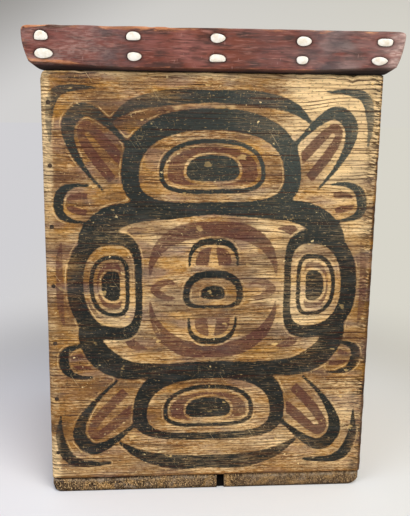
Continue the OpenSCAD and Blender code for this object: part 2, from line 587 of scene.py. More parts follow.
@dataclass(frozen=True)
class FrontPainting:
    """A generic design of ovoids and U forms, laid out for this box alone and mirrored about its middle."""

    ovoids: tuple[Ovoid, ...] = (
        Ovoid(0, 397, 106, 64, 0, 24), Ovoid(125, 252, 68, 49, -90, 19), Ovoid(0, 97, 96, 55, 0, 21))
    middle: Ovoid = Ovoid(0, 246, 36, 26, 0, 9)
    feathers: tuple[UForm, ...] = (
        UForm(108, 390, -44, 68, 90, 17, -10), UForm(148, 352, -84, 52, 40, 12, 4),
        UForm(98, 110, -132, 68, 94, 17, 10), UForm(150, 157, -97, 48, 38, 12, -4),
        UForm(0, 280, 0, 62, 34, 8), UForm(0, 212, 180, 62, 34, 8))
    black_strokes: tuple[Stroke, ...] = (
        ((0, 347, 4), (50, 343, 6), (92, 344, 12), (124, 334, 15), (148, 314, 12), (153, 294, 5)),
        ((155, 210, 5), (153, 188, 12), (136, 162, 15), (104, 146, 12), (60, 147, 7), (0, 148, 4)),
        ((0, 22, 9), (44, 22, 10), (84, 31, 7), (112, 48, 2)),
        ((0, 480, 7), (48, 478, 9), (92, 468, 7), (116, 450, 2)),
        ((134, 485, 1), (162, 484, 4), (181, 476, 6), (188, 450, 4), (187, 420, 1)),
        ((126, 20, 2), (158, 19, 5), (177, 29, 7), (186, 56, 5), (185, 84, 1)))
    red_strokes: tuple[Stroke, ...] = (
        ((0, 324, 10), (34, 321, 10), (60, 306, 8), (73, 284, 4), (76, 266, 1)),
        ((0, 171, 10), (34, 174, 10), (60, 191, 8), (73, 214, 4), (76, 232, 1)),
        ((44, 255, 1), (56, 259, 4), (71, 249, 5), (58, 239, 4), (46, 238, 1)),
        ((182, 200, 1), (186, 226, 4), (186, 278, 4), (182, 304, 1)),
        ((78, 324, 1), (96, 320, 6), (102, 305, 5), (93, 294, 1)),
        ((80, 173, 1), (98, 179, 6), (103, 195, 5), (93, 208, 1)))
    fillet: float = 6.0
    feather_fillet: float = 3.0
    fill_inset: float = 3.0
    slit_gap: float = 2.5
    core_inset: tuple[float, float, float] = (0.30, 0.26, 0.34)
    core_gap: float = 7.0
    heart_share: float = 0.52
    heart_gap: float = 3.2
    middle_heart: float = 0.5
    ring_line: float = 2.6
    red_gap: float = 2.2
    margin: float = 4.0

    def hand_drawn(self, at: Array) -> Array:
        """Places folded about the middle, after a slow waver like that of a hand.

        Args:
            at: one row per place on the front.

        Returns:
            The places to draw at.
        """
        u, v = at[:, 0], at[:, 1]
        # Swings of a millimetre or two, with lengths that never fall together
        across = u + 2.0 * np.sin(v / 61 + 0.7) + 1.1 * np.sin(u / 47 + v / 90)
        up = v + 2.0 * np.sin(u / 73 + 1.9) + 1.0 * np.sin(v / 38 + u / 110)
        return np.stack([np.abs(across), up], 1)

    def distances(self, at: Array) -> tuple[Array, Array]:
        """Works out the whole design.

        Args:
            at: places on the front, measured from the middle of its lower edge, in millimetres.

        Returns:
            Distances from the edges of the black and of the red.
        """
        p = self.hand_drawn(at)
        black, red = np.full(len(p), FAR_MM), np.full(len(p), FAR_MM)
        for stroke in self.black_strokes:
            black = flow(black, stroke_distance(p, smooth_path(stroke)), self.fillet)
        for form in self.feathers:
            black = flow(black, stroke_distance(p, form.path()), self.feather_fillet)
            fill = shape_distance(p, form.path(0.5 * form.band + self.fill_inset)[:, :2])
            red = np.minimum(red, np.maximum(fill, self.slit_gap - stroke_distance(p, form.slit())))
        for stroke in self.red_strokes:
            red = np.minimum(red, stroke_distance(p, smooth_path(stroke)))
        for form in self.ovoids:
            hollow, (side, top, bottom) = form.hollow(), self.core_inset
            core = hollow.within(side * hollow.half_w, top * hollow.half_h, bottom * hollow.half_h)
            edge, rim = shape_distance(p, form.outline()), shape_distance(p, core.outline())
            heart = shape_distance(p, core.share(self.heart_share).outline())
            band = np.maximum(edge, -shape_distance(p, hollow.outline()))
            lines = np.minimum(np.minimum(band, np.abs(rim) - self.ring_line), heart)
            black = np.where(edge < 0, lines, flow(black, lines, self.fillet))
            red = np.where(edge < 0, np.maximum(rim + self.core_gap, self.heart_gap - heart), red)
        edge = shape_distance(p, self.middle.outline())
        hollow = self.middle.hollow()
        band = np.maximum(edge, -shape_distance(p, hollow.outline()))
        lines = np.minimum(band, shape_distance(p, hollow.share(self.middle_heart).outline()))
        black = np.where(edge < 0, lines, np.minimum(black, lines))
        return black, np.maximum(red, self.red_gap - black)


# Finishes


def start_material(name: str) -> tuple[bpy.types.Material, Tree, bpy.types.Node]:
    """Starts a material.

    Args:
        name: what the real material is.

    Returns:
        The material, its tree and its surface shader.
    """
    material = bpy.data.materials.new(name)
    material.use_nodes = True
    return material, material.node_tree, material.node_tree.nodes["Principled BSDF"]


def millimetres(tree: Tree) -> Socket:
    """Place on the object itself, in millimetres.

    Args:
        tree: the material's tree.

    Returns:
        The place.
    """
    spot = add_node(tree, "ShaderNodeTexCoord").outputs["Object"]
    settings = {"operation": "SCALE", "Scale": 1 / MM}
    return add_node(tree, "ShaderNodeVectorMath", settings, {0: spot}).outputs[0]


def coat(tree: Tree, under: Socket, code: str, *shares: Feed) -> Socket:
    """Lays a colour over another.

    Args:
        tree: the material's tree.
        under: the colour below.
        code: the coat's own colour.
        shares: amounts from 0 to 1, which are multiplied together.

    Returns:
        The coated colour.
    """
    amount = shares[0]
    for share in shares[1:]:
        held = add_node(tree, "ShaderNodeMath", {"operation": "MULTIPLY"}, {0: amount, 1: share})
        amount = held.outputs[0]
    laid = {"data_type": "RGBA", 7: linear(code)}
    return add_node(tree, "ShaderNodeMix", laid, {0: amount, 6: under}).outputs[2]


class Scatter(NamedTuple):
    """How something is scattered over a surface: noise that is cut between two levels.

    The cell is in millimetres along and across the grain. At the start level there is the least of it, and
    at the full level the most.
    """

    along_mm: float
    across_mm: float
    start: float
    full: float
    most: float = 1.0
    least: float = 0.0
    detail: float = 3.0
    roughness: float = 0.5
    soft: bool = False

    def amount(self, tree: Tree, place: Socket) -> Socket:
        """How much of it there is at each place.

        Args:
            tree: the material's tree.
            place: millimetres along and across the grain.

        Returns:
            The amount, from the least to the most.
        """
        noise = add_node(tree, "ShaderNodeTexNoise",
                         {"Scale": 1.0, "Detail": self.detail, "Roughness": self.roughness},
                         {"Vector": (place, self.along_mm, self.across_mm)})
        cut = {"interpolation_type": "SMOOTHSTEP" if self.soft else "LINEAR",
               1: self.start, 2: self.full, 3: self.least, 4: self.most}
        return add_node(tree, "ShaderNodeMapRange", cut, {0: noise.outputs[0]}).outputs[0]


class Mark(NamedTuple):
    """A kind of scattered mark: its colour, then its cell, levels and strength as a Scatter has them."""

    code: str
    along_mm: float
    across_mm: float
    start: float
    full: float
    most: float


def marked(tree: Tree, place: Socket, colour: Socket, marks: tuple[Mark, ...], *limits: Feed) -> Socket:
    """Lays scattered marks over a colour, one kind after another.

    Args:
        tree: the material's tree.
        place: millimetres along the grain, and twice across it.
        colour: what the marks lie on.
        marks: the kinds of mark.
        limits: shares that weaken all of them from place to place.

    Returns:
        The marked colour.
    """
    for code, *scatter in marks:
        colour = coat(tree, colour, code, Scatter(*scatter).amount(tree, place), *limits)
    return colour


class Look(NamedTuple):
    """The colour and the fine relief of a surface."""

    colour: Socket
    height: Socket


@dataclass(frozen=True)
class Finish:
    """What every finish says of its surface: how rough it is, how it shines and how deep its relief is."""

    roughness: float = 0.7
    gloss: float = 0.5
    relief_mm: float = 0.2

    def surface(self, tree: Tree, shader: bpy.types.Node, look: Look) -> None:
        """Gives a look to a surface shader, with this finish.

        Args:
            tree: the material's tree.
            shader: its surface shader.
            look: colour and relief.
        """
        bump = add_node(tree, "ShaderNodeBump", {"Distance": self.relief_mm * MM}, {"Height": look.height})
        tree.links.new(look.colour, shader.inputs["Base Color"])
        tree.links.new(bump.outputs[0], shader.inputs["Normal"])
        shader.inputs["Roughness"].default_value = self.roughness
        shader.inputs["Specular IOR Level"].default_value = self.gloss


@dataclass(frozen=True)
class AgedCedar:
    """Red cedar, split, adzed and handled for generations.

    The eye gets a golden brown that drifts from pale ochre to dark brown, with fine dark growth lines along
    the plank. Real fibres are a few tenths of a millimetre wide and would vanish, so they are drawn coarser.
    """

    dark: str = "#4c3018"
    middle: str = "#9c6e3b"
    light: str = "#f5d39d"
    line: str = "#382111"
    ring_mm: float = 4.6
    streak_mm: float = 15.0
    fibre_mm: float = 1.3
    blotch_mm: float = 60.0
    line_strength: float = 0.95
    fleck: float = 1.1
    ring_run: float = 12.0
    fibre_run: float = 6.0
    blotch_run: float = 1.3
    streak_run_mm: float = 200.0
    sway_cell_mm: tuple[float, float] = (190.0, 60.0)
    sway_mm: float = 15.0
    line_levels: tuple[float, float] = (0.58, 0.88)
    line_sink: float = 0.8
    broken: Scatter = Scatter(60, 14, 0.38, 0.62, least=0.06)
    stops: tuple[float, float, float] = (0.26, 0.5, 0.76)

    def grain(self, tree: Tree, place: Socket, tone: Feed | None = None) -> Look:
        """Draws the bare wood.

        Args:
            tree: the material's tree.
            place: millimetres along the grain, and twice across it.
            tone: lightens or darkens the wood from place to place.

        Returns:
            The look that a finish builds on.
        """
        wander = add_node(tree, "ShaderNodeTexNoise", {"Scale": 1.0, "Detail": 2.0},
                          {"Vector": (place, *self.sway_cell_mm)})
        sway = {"operation": "MULTIPLY_ADD", 1: 2 * self.sway_mm, 2: -self.sway_mm}
        shift = add_node(tree, "ShaderNodeMath", sway, {0: wander.outputs[0]})
        moved = add_node(tree, "ShaderNodeVectorMath", {"operation": "ADD"}, {0: place, 1: shift.outputs[0]})
        # One turn of the wave pattern is a twentieth of its unit times two pi
        unit = self.ring_mm * 20 / (2 * math.pi)
        rings = add_node(tree, "ShaderNodeTexWave",
                         {"wave_profile": "SAW", "bands_direction": "Y", "Scale": 1.0, "Distortion": 1.3,
                          "Detail": 3.0, "Detail Scale": 1.6, "Detail Roughness": 0.6},
                         {"Vector": (moved.outputs[0], unit * self.ring_run, unit)})
        start, full = self.line_levels
        lines = add_node(tree, "ShaderNodeMapRange", {"interpolation_type": "SMOOTHSTEP", 1: start, 2: full},
                         {0: rings.outputs[1]}).outputs[0]
        fibres, streaks, blotches = (
            add_node(tree, "ShaderNodeTexNoise", {"Scale": 1.0, "Detail": detail, "Roughness": rough},
                     {"Vector": (place, run, width)}).outputs[0]
            for run, width, detail, rough in (
                (self.fibre_mm * self.fibre_run, self.fibre_mm, 4.0, 0.7),
                (self.streak_run_mm, self.streak_mm, 3.0, 0.5),
                (self.blotch_mm * self.blotch_run, self.blotch_mm, 5.0, 0.62)))
        blend = add_node(tree, "ShaderNodeMix", {"data_type": "FLOAT", 0: 0.5}, {2: streaks, 3: blotches})
        flecked = add_node(tree, "ShaderNodeMath", {"operation": "MULTIPLY_ADD", 1: self.fleck},
                           {0: fibres, 2: blend.outputs[0]})
        level = add_node(tree, "ShaderNodeMath", {"operation": "SUBTRACT", 1: 0.5 * self.fleck},
                         {0: flecked.outputs[0]})
        if tone is not None:
            level = add_node(tree, "ShaderNodeMath", {"operation": "ADD"}, {0: level.outputs[0], 1: tone})
        ramp = add_node(tree, "ShaderNodeValToRGB", {}, {0: level.outputs[0]})
        stops = ramp.color_ramp.elements
        stops[0].position, stops[1].position = self.stops[0], self.stops[2]
        stops.new(self.stops[1])
        for stop, code in zip(stops, (self.dark, self.middle, self.light)):
            stop.color = linear(code)
        broken = self.broken._replace(most=self.line_strength).amount(tree, place)
        colour = coat(tree, ramp.outputs[0], self.line, lines, broken)
        height = add_node(tree, "ShaderNodeMath", {"operation": "MULTIPLY_ADD", 1: -self.line_sink},
                          {0: lines, 2: fibres})
        return Look(colour, height.outputs[0])


class Paint(NamedTuple):
    """One paint: the distance that it follows, its colour, the wear at which it thins, and its cover."""

    distance: str
    code: str
    thins: float
    most: float
    least: float


@dataclass(frozen=True)
class PaintedCedar(Finish):
    """The bent plank: aged cedar with mineral black and red, brushed on thin and worn along the grain.

    The eye gets golden and mauve drifts in the wood, matt slate black, greyed by dust toward the top, and
    dull maroon, both with soft edges and wood showing through, pale lines where the wood stayed bare beside
    the black, and a brown film of smoke and handling. Scratches are drawn coarser, so that they show.
    """

    roughness: float = 0.66
    gloss: float = 0.12
    relief_mm: float = 0.35
    wood: AgedCedar = AgedCedar()
    paints: tuple[Paint, Paint] = (
        Paint("red", "#57322b", 0.47, 0.86, 0.12), Paint("black", "#0d1a1c", 0.52, 0.97, 0.28))
    thins_over: float = 0.3
    bloom: str = "#5b635c"
    rubbed: str = "#e6c389"
    waver_cell_mm: tuple[float, float] = (8.0, 3.2)
    waver_mm: float = 3.6
    thin_cell_mm: tuple[float, float] = (20.0, 1.7)
    paint_edge_mm: tuple[float, float] = (2.5, 1.1)
    bare_line_mm: float = 3.6
    bare_line_half_mm: float = 0.7
    bare_line: Scatter = Scatter(34, 26, 0.47, 0.66, 0.65, detail=4.0, roughness=0.6)
    ridge_line: str = "#22170e"
    ridge_lean: float = 0.2
    ridge_sink: float = 1.2
    furrows: Scatter = Scatter(12.5, 2.5, 0.47, 0.57, detail=2.0, roughness=0.6, soft=True)
    drift: tuple[Mark, ...] = (
        Mark("#bd862c", 70, 30, 0.42, 0.58, 0.43), Mark("#887069", 55, 22, 0.51, 0.63, 0.5))
    film: tuple[Mark, ...] = (
        Mark("#513830", 80, 34, 0.44, 0.62, 0.65), Mark("#3c2314", 44, 3.0, 0.58, 0.70, 0.75),
        Mark("#2f1a0e", 60, 1.7, 0.61, 0.70, 0.8))
    dirt: tuple[Mark, ...] = (
        Mark("#3a1a10", 110, 2.0, 0.60, 0.63, 0.8), Mark("#1c110a", 150, 1.4, 0.63, 0.66, 0.85),
        Mark("#464743", 36, 11, 0.50, 0.70, 0.35),
        Mark("#2b1c14", 4.0, 2.2, 0.58, 0.66, 0.55), Mark("#d9b57c", 4.5, 1.6, 0.63, 0.71, 0.4))
    clusters: Scatter = Scatter(70, 80, 0.40, 0.60, detail=2.0)
    scrapes: tuple[Mark, ...] = (
        Mark("#e6c389", 3.0, 40, 0.64, 0.74, 0.12), Mark("#ecd09c", 2.4, 1.9, 0.68, 0.74, 0.9),
        Mark("#e6c389", 13, 1.2, 0.64, 0.74, 0.5), Mark("#f0d49a", 8, 6, 0.69, 0.72, 0.85),
        Mark("#e4bf7c", 24, 13, 0.67, 0.70, 0.75), Mark("#dcb878", 2.2, 9, 0.64, 0.74, 0.3))
    scrape_lean: float = 0.12
    gouges: tuple[Mark, ...] = (Mark("#e9cf9c", 60, 1.0, 0.68, 0.74, 0.7),)
    gouge_lean: float = 1.0

    def ridged(self, tree: Tree, place: Socket, wood: Look) -> Look:
        """Adds the ridges that weather left along the corners.

        Args:
            tree: the material's tree.
            place: millimetres on the board.
            wood: the plain wood.

        Returns:
            The wood with its ridges.
        """
        lean = {"rotation_type": "Z_AXIS", "Angle": self.ridge_lean}
        leaning = add_node(tree, "ShaderNodeVectorRotate", lean, {"Vector": place}).outputs[0]
        drawn = add_node(tree, "ShaderNodeMath", {"operation": "MULTIPLY"},
                         {0: self.furrows.amount(tree, leaning), 1: "ridged"}).outputs[0]
        height = add_node(tree, "ShaderNodeMath", {"operation": "MULTIPLY_ADD", 1: -self.ridge_sink},
                          {0: drawn, 2: wood.height})
        return Look(coat(tree, wood.colour, self.ridge_line, drawn), height.outputs[0])

    def painted(self, tree: Tree, place: Socket, colour: Socket) -> Socket:
        """Lays the two paints over the wood.

        Args:
            tree: the material's tree.
            place: millimetres on the board.
            colour: the wood's colour.

        Returns:
            The painted colour.
        """
        waver, thin = (
            add_node(tree, "ShaderNodeTexNoise", {"Scale": 1.0, "Detail": detail, "Roughness": rough},
                     {"Vector": (place, *cell)}).outputs[0]
            for cell, detail, rough in ((self.waver_cell_mm, 4.0, 0.6), (self.thin_cell_mm, 5.0, 0.68)))
        worn = add_node(tree, "ShaderNodeMath", {"operation": "ADD"}, {0: thin, 1: "rub"}).outputs[0]
        outside, inside = self.paint_edge_mm
        for paint in self.paints:
            edge = add_node(tree, "ShaderNodeMath", {"operation": "MULTIPLY_ADD", 1: self.waver_mm},
                            {0: waver, 2: paint.distance}).outputs[0]
            fade = {"interpolation_type": "SMOOTHSTEP", 1: outside, 2: inside}
            cover = add_node(tree, "ShaderNodeMapRange", fade, {0: edge}).outputs[0]
            wear = {1: paint.thins, 2: paint.thins + self.thins_over, 3: paint.most, 4: paint.least}
            body = add_node(tree, "ShaderNodeMapRange", wear, {0: worn}).outputs[0]
            colour = coat(tree, colour, paint.code, cover, body)
        # The last paint is the black: dust has greyed it, and a bare line runs beside it
        colour = coat(tree, colour, self.bloom, cover, "greyed")
        line = {"operation": "COMPARE", 1: self.bare_line_mm, 2: self.bare_line_half_mm}
        beside = add_node(tree, "ShaderNodeMath", line, {0: edge}).outputs[0]
        return coat(tree, colour, self.rubbed, beside, self.bare_line.amount(tree, place))

    def material(self) -> bpy.types.Material:
        """Builds the material, which reads the numbers that the plank stores at its vertices.

        Returns:
            The material.
        """
        material, tree, shader = start_material("aged painted red cedar")
        place = add_node(tree, "ShaderNodeAttribute", {"attribute_name": "board"}).outputs["Vector"]
        wood = self.ridged(tree, place, self.wood.grain(tree, place, "tone"))
        colour = marked(tree, place, wood.colour, self.drift + self.film, "film")
        colour = marked(tree, place, self.painted(tree, place, colour), self.dirt)
        often = self.clusters.amount(tree, place)
        for lean, marks in ((self.scrape_lean, self.scrapes), (self.gouge_lean, self.gouges)):
            leaning = add_node(tree, "ShaderNodeVectorRotate", {"rotation_type": "Z_AXIS", "Angle": lean},
                               {"Vector": place})
            colour = marked(tree, leaning.outputs[0], colour, marks, often)
        self.surface(tree, shader, Look(colour, wood.height))
        return material


@dataclass(frozen=True)
class OchredLid(Finish):
    """The lid: cedar with a thin coat of red ochre, dark with handling.

    The eye gets a maroon that is pinkish at the left, browner in the middle and grey with dust at the right,
    fine scratches along the grain, and orange bare wood where hands have rubbed the edges. A near-black
    painted shade lies under the face's lower edge and round the shells.
    """

    roughness: float = 0.52
    gloss: float = 0.35
    relief_mm: float = 0.45
    wood: AgedCedar = AgedCedar("#945637", "#c88456", "#ecb788", "#3a1d10", ring_mm=5.5, fleck=0.6)
    ochre: str = "#6b2f28"
    brown: str = "#6f351f"
    pale: str = "#c09c92"
    # Near-black of the painted shade under the face and round the shells, and of grime
    shade_and_grime: str = "#140705"
    rub_cell_mm: tuple[float, float] = (16.0, 3.5)
    bare_levels: tuple[float, float] = (0.68, 0.90)
    most_cover: float = 0.96
    least_cover: float = 0.08
    handling: tuple[Mark, ...] = (
        Mark("#945f59", 44, 22, 0.46, 0.66, 0.6), Mark("#35241f", 34, 10, 0.50, 0.66, 0.8),
        Mark("#30201b", 17, 3, 0.55, 0.67, 0.5), Mark("#b07768", 15, 2.4, 0.57, 0.70, 0.5),
        Mark("#a97366", 18, 1.7, 0.57, 0.72, 0.55), Mark("#2c1815", 24, 1.5, 0.57, 0.68, 0.65),
        Mark("#c39a90", 2.0, 9, 0.66, 0.76, 0.4))
    dust: tuple[Mark, ...] = (
        Mark("#9b8783", 30, 9, 0.28, 0.62, 0.75), Mark("#453b3b", 14, 3, 0.55, 0.67, 0.6))
    dusk: tuple[Mark, ...] = (Mark("#40383b", 22, 10, 0.36, 0.60, 0.8),)
    ticks: tuple[Mark, ...] = (Mark("#e6cabf", 7, 1.7, 0.47, 0.57, 0.9),)

    def material(self) -> bpy.types.Material:
        """Builds the material in the lid's own millimetres, with its wear read from the vertices.

        Returns:
            The material.
        """
        material, tree, shader = start_material("red ochre on cedar")
        place = millimetres(tree)
        wood = self.wood.grain(tree, place)
        rub = add_node(tree, "ShaderNodeTexNoise", {"Scale": 1.0, "Detail": 5.0, "Roughness": 0.72},
                       {"Vector": (place, *self.rub_cell_mm)})
        bare = add_node(tree, "ShaderNodeMath", {"operation": "ADD"}, {0: rub.outputs[0], 1: "worn"})
        start, full = self.bare_levels
        wear = {1: start, 2: full, 3: self.most_cover, 4: self.least_cover}
        cover = add_node(tree, "ShaderNodeMapRange", wear, {0: bare.outputs[0]}).outputs[0]
        colour = coat(tree, wood.colour, self.ochre, cover)
        colour = coat(tree, colour, self.brown, "browned", cover)
        colour = marked(tree, place, colour, self.handling, cover)
        colour = marked(tree, place, colour, self.dust, "dusted", cover)
        colour = marked(tree, place, colour, self.dusk, "dusky", cover)
        colour = coat(tree, colour, self.pale, "paled", cover)
        # Painted shade and grime darken the lid where it stores them
        colour = coat(tree, marked(tree, place, colour, self.ticks, "paled"), self.shade_and_grime, "shade_and_grime")
        self.surface(tree, shader, Look(colour, wood.height))
        dull = add_node(tree, "ShaderNodeMapRange", {3: self.roughness, 4: 1.0}, {0: "shade_and_grime"})
        tree.links.new(dull.outputs[0], shader.inputs["Roughness"])
        return material


@dataclass(frozen=True)
class BaseCedar(Finish):
    """The base: a thick cedar board whose front edge is sawn across.

    The eye gets grey brown end grain, speckled by open pores and dust, with a near-black painted shade along
    the seam, under the lower edge and in the notch. Pores are drawn coarser than the few tenths of a
    millimetre that they measure, so that they show.
    """

    roughness: float = 0.74
    gloss: float = 0.1
    relief_mm: float = 0.6
    wood: AgedCedar = AgedCedar("#3d2d1f", "#715a42", "#a98a61", "#2a1f17", ring_mm=7.0, streak_mm=9.0,
                                fibre_mm=1.5, blotch_mm=34.0, line_strength=0.3)
    specks: tuple[Mark, ...] = (
        Mark("#33251a", 60, 24, 0.45, 0.58, 0.65), Mark("#c0955a", 60, 17, 0.52, 0.64, 0.6),
        Mark("#85796c", 60, 13, 0.55, 0.66, 0.6))
    pores: tuple[Mark, ...] = (
        Mark("#160e08", 30, 1.9, 0.51, 0.60, 0.92), Mark("#dfba84", 30, 1.7, 0.56, 0.65, 0.82))
    rubbed: tuple[Mark, ...] = (
        Mark("#a5937b", 60, 9, 0.38, 0.62, 0.7), Mark("#2a2018", 30, 2.6, 0.52, 0.64, 0.6))
    # Near-black of the painted shade along the seam, under the lower edge and in the notch
    shade_and_grime: str = "#080504"

    def material(self) -> bpy.types.Material:
        """Builds the material with the grain running from front to back.

        Returns:
            The material.
        """
        material, tree, shader = start_material("weathered cedar end grain")
        across, back, up = add_node(tree, "ShaderNodeSeparateXYZ", {}, {0: millimetres(tree)}).outputs
        place = add_node(tree, "ShaderNodeCombineXYZ", {}, {0: back, 1: across, 2: up}).outputs[0]
        wood = self.wood.grain(tree, place)
        colour = marked(tree, place, wood.colour, self.specks + self.pores, "pitted")
        colour = marked(tree, place, colour, self.rubbed, "rubbed")
        # Painted shade, where the base stores it
        colour = coat(tree, colour, self.shade_and_grime, "shade_and_grime")
        self.surface(tree, shader, Look(colour, wood.height))
        return material


@dataclass(frozen=True)
class PegWood(Finish):
    """Split yew pegs, cut across: the eye gets dark dots of end grain, almost black with age and dirt."""

    wood: AgedCedar = AgedCedar("#251a10", "#3b2a1a", "#574028", "#150d07", ring_mm=1.6, streak_mm=4.0,
                                fibre_mm=0.8, blotch_mm=9.0)

    def material(self) -> bpy.types.Material:
        """Builds the material in the box's own millimetres.

        Returns:
            The material.
        """
        material, tree, shader = start_material("dark yew pegs")
        self.surface(tree, shader, self.wood.grain(tree, millimetres(tree)))
        return material


@dataclass(frozen=True)
class PolishedShell(Finish):
    """Operculum shell, ground smooth: the eye gets a dense white with cream clouds and a soft gloss."""

    roughness: float = 0.3
    relief_mm: float = 0.15
    white: str = "#f4efe6"
    cream: str = "#dbcdb2"
    cloud_mm: float = 5.0
    cloud_levels: tuple[float, float] = (0.42, 0.78)
    most_cream: float = 0.9

    def material(self) -> bpy.types.Material:
        """Builds the material with soft clouds and a fine surface grain.

        Returns:
            The material.
        """
        material, tree, shader = start_material("polished operculum shell")
        clouds = add_node(tree, "ShaderNodeTexNoise", {"Scale": 1.0, "Detail": 4.0},
                          {"Vector": (millimetres(tree), self.cloud_mm, self.cloud_mm)}).outputs[0]
        start, full = self.cloud_levels
        share = add_node(tree, "ShaderNodeMapRange", {1: start, 2: full, 4: self.most_cream}, {0: clouds})
        white = {"data_type": "RGBA", 6: linear(self.white), 7: linear(self.cream)}
        colour = add_node(tree, "ShaderNodeMix", white, {0: share.outputs[0]}).outputs[2]
        self.surface(tree, shader, Look(colour, clouds))
        return material


# The pieces


class Outline(NamedTuple):
    """The plank's outside in plan: length along it, place and outward direction of each point."""

    along: Array
    spot: Array
    out: Array


class Zone(NamedTuple):
    """A part of the plank that age has changed, or where light and shade are painted into its colour.

    It lies where its fades along and up the plank are full, in millimetres from the middle of the front and
    from the plank's lower edge. The other numbers are what it adds there: lightness of the wood, rubbing of
    the paint, brown film, ridges, and grey dust on the black. In the upper right, the upper left, round the
    right corner and along the seam with the base, the lightness is painted light and shade, and in the upper
    right it is sun-fading too.
    """

    along: tuple[Fade, ...] = ()
    up: tuple[Fade, ...] = ()
    tone: float = 0.0
    rub: float = 0.0
    film: float = 0.0
    ridged: float = 0.0
    greyed: float = 0.0


LEFT_EDGE = ((-212, -200), (-185, -192))
SEAM = ((3.0, 0.8),)
ZONES_OF_AGE_AND_LIGHT = {
    "left edge": Zone(LEFT_EDGE, (), 0.084, 0.048, -0.24, 0.15),
    "its upper part": Zone(LEFT_EDGE, ((310, 400),), 0.196, 0.112, -0.56, 0.35),
    "its foot": Zone(LEFT_EDGE, ((80, 40),), 0.196, 0.112, -0.56, 0.35),
    "stain inside the left edge": Zone(((-115, -180), (-215, -205)), ((40, 80), (400, 310)), tone=-0.10),
    # Painted shade: the upper left is darker; the next two zones keep the left edge out of it
    "shaded upper left": Zone(((0, -150),), ((300, 450),), tone=-0.12),
    "left edge out of the shade": Zone(LEFT_EDGE, ((300, 450),), tone=0.036),
    "most of it at the top": Zone(LEFT_EDGE, ((300, 450), (310, 400)), tone=0.084),
    # Painted light on sun-faded wood: the upper right is lighter and has less brown film
    "sun-faded and brightly lit upper right": Zone(((20, 190), (215, 200)), ((290, 480),), tone=0.54, film=-0.9),
    "right edge": Zone(((174, 192), (220, 205)), rub=0.22, ridged=0.9),
    # Painted shade where the plank turns round the right corner
    "shaded round the right corner": Zone(((194, 197), (246, 200)), tone=-0.5),
    "side and back walls": Zone(((210, 240),), film=-0.4),
    "middle": Zone((), ((130, 200), (350, 290)), tone=0.12),
    "lower part": Zone((), ((190, 90),), tone=0.05, film=-0.4),
    # Painted shadow along the seam with the base, darker at the left
    "shadow along the seam with the base": Zone((), SEAM, tone=-0.5),
    "darker shadow along the seam at the left": Zone(((40, -100),), SEAM, tone=-0.4),
    "handled top": Zone((), ((400, 490),), rub=0.08),
    "dusty top": Zone((), ((260, 430),), greyed=0.15),
    "dusty top right": Zone(((-40, 120),), ((260, 430),), greyed=0.25),
}


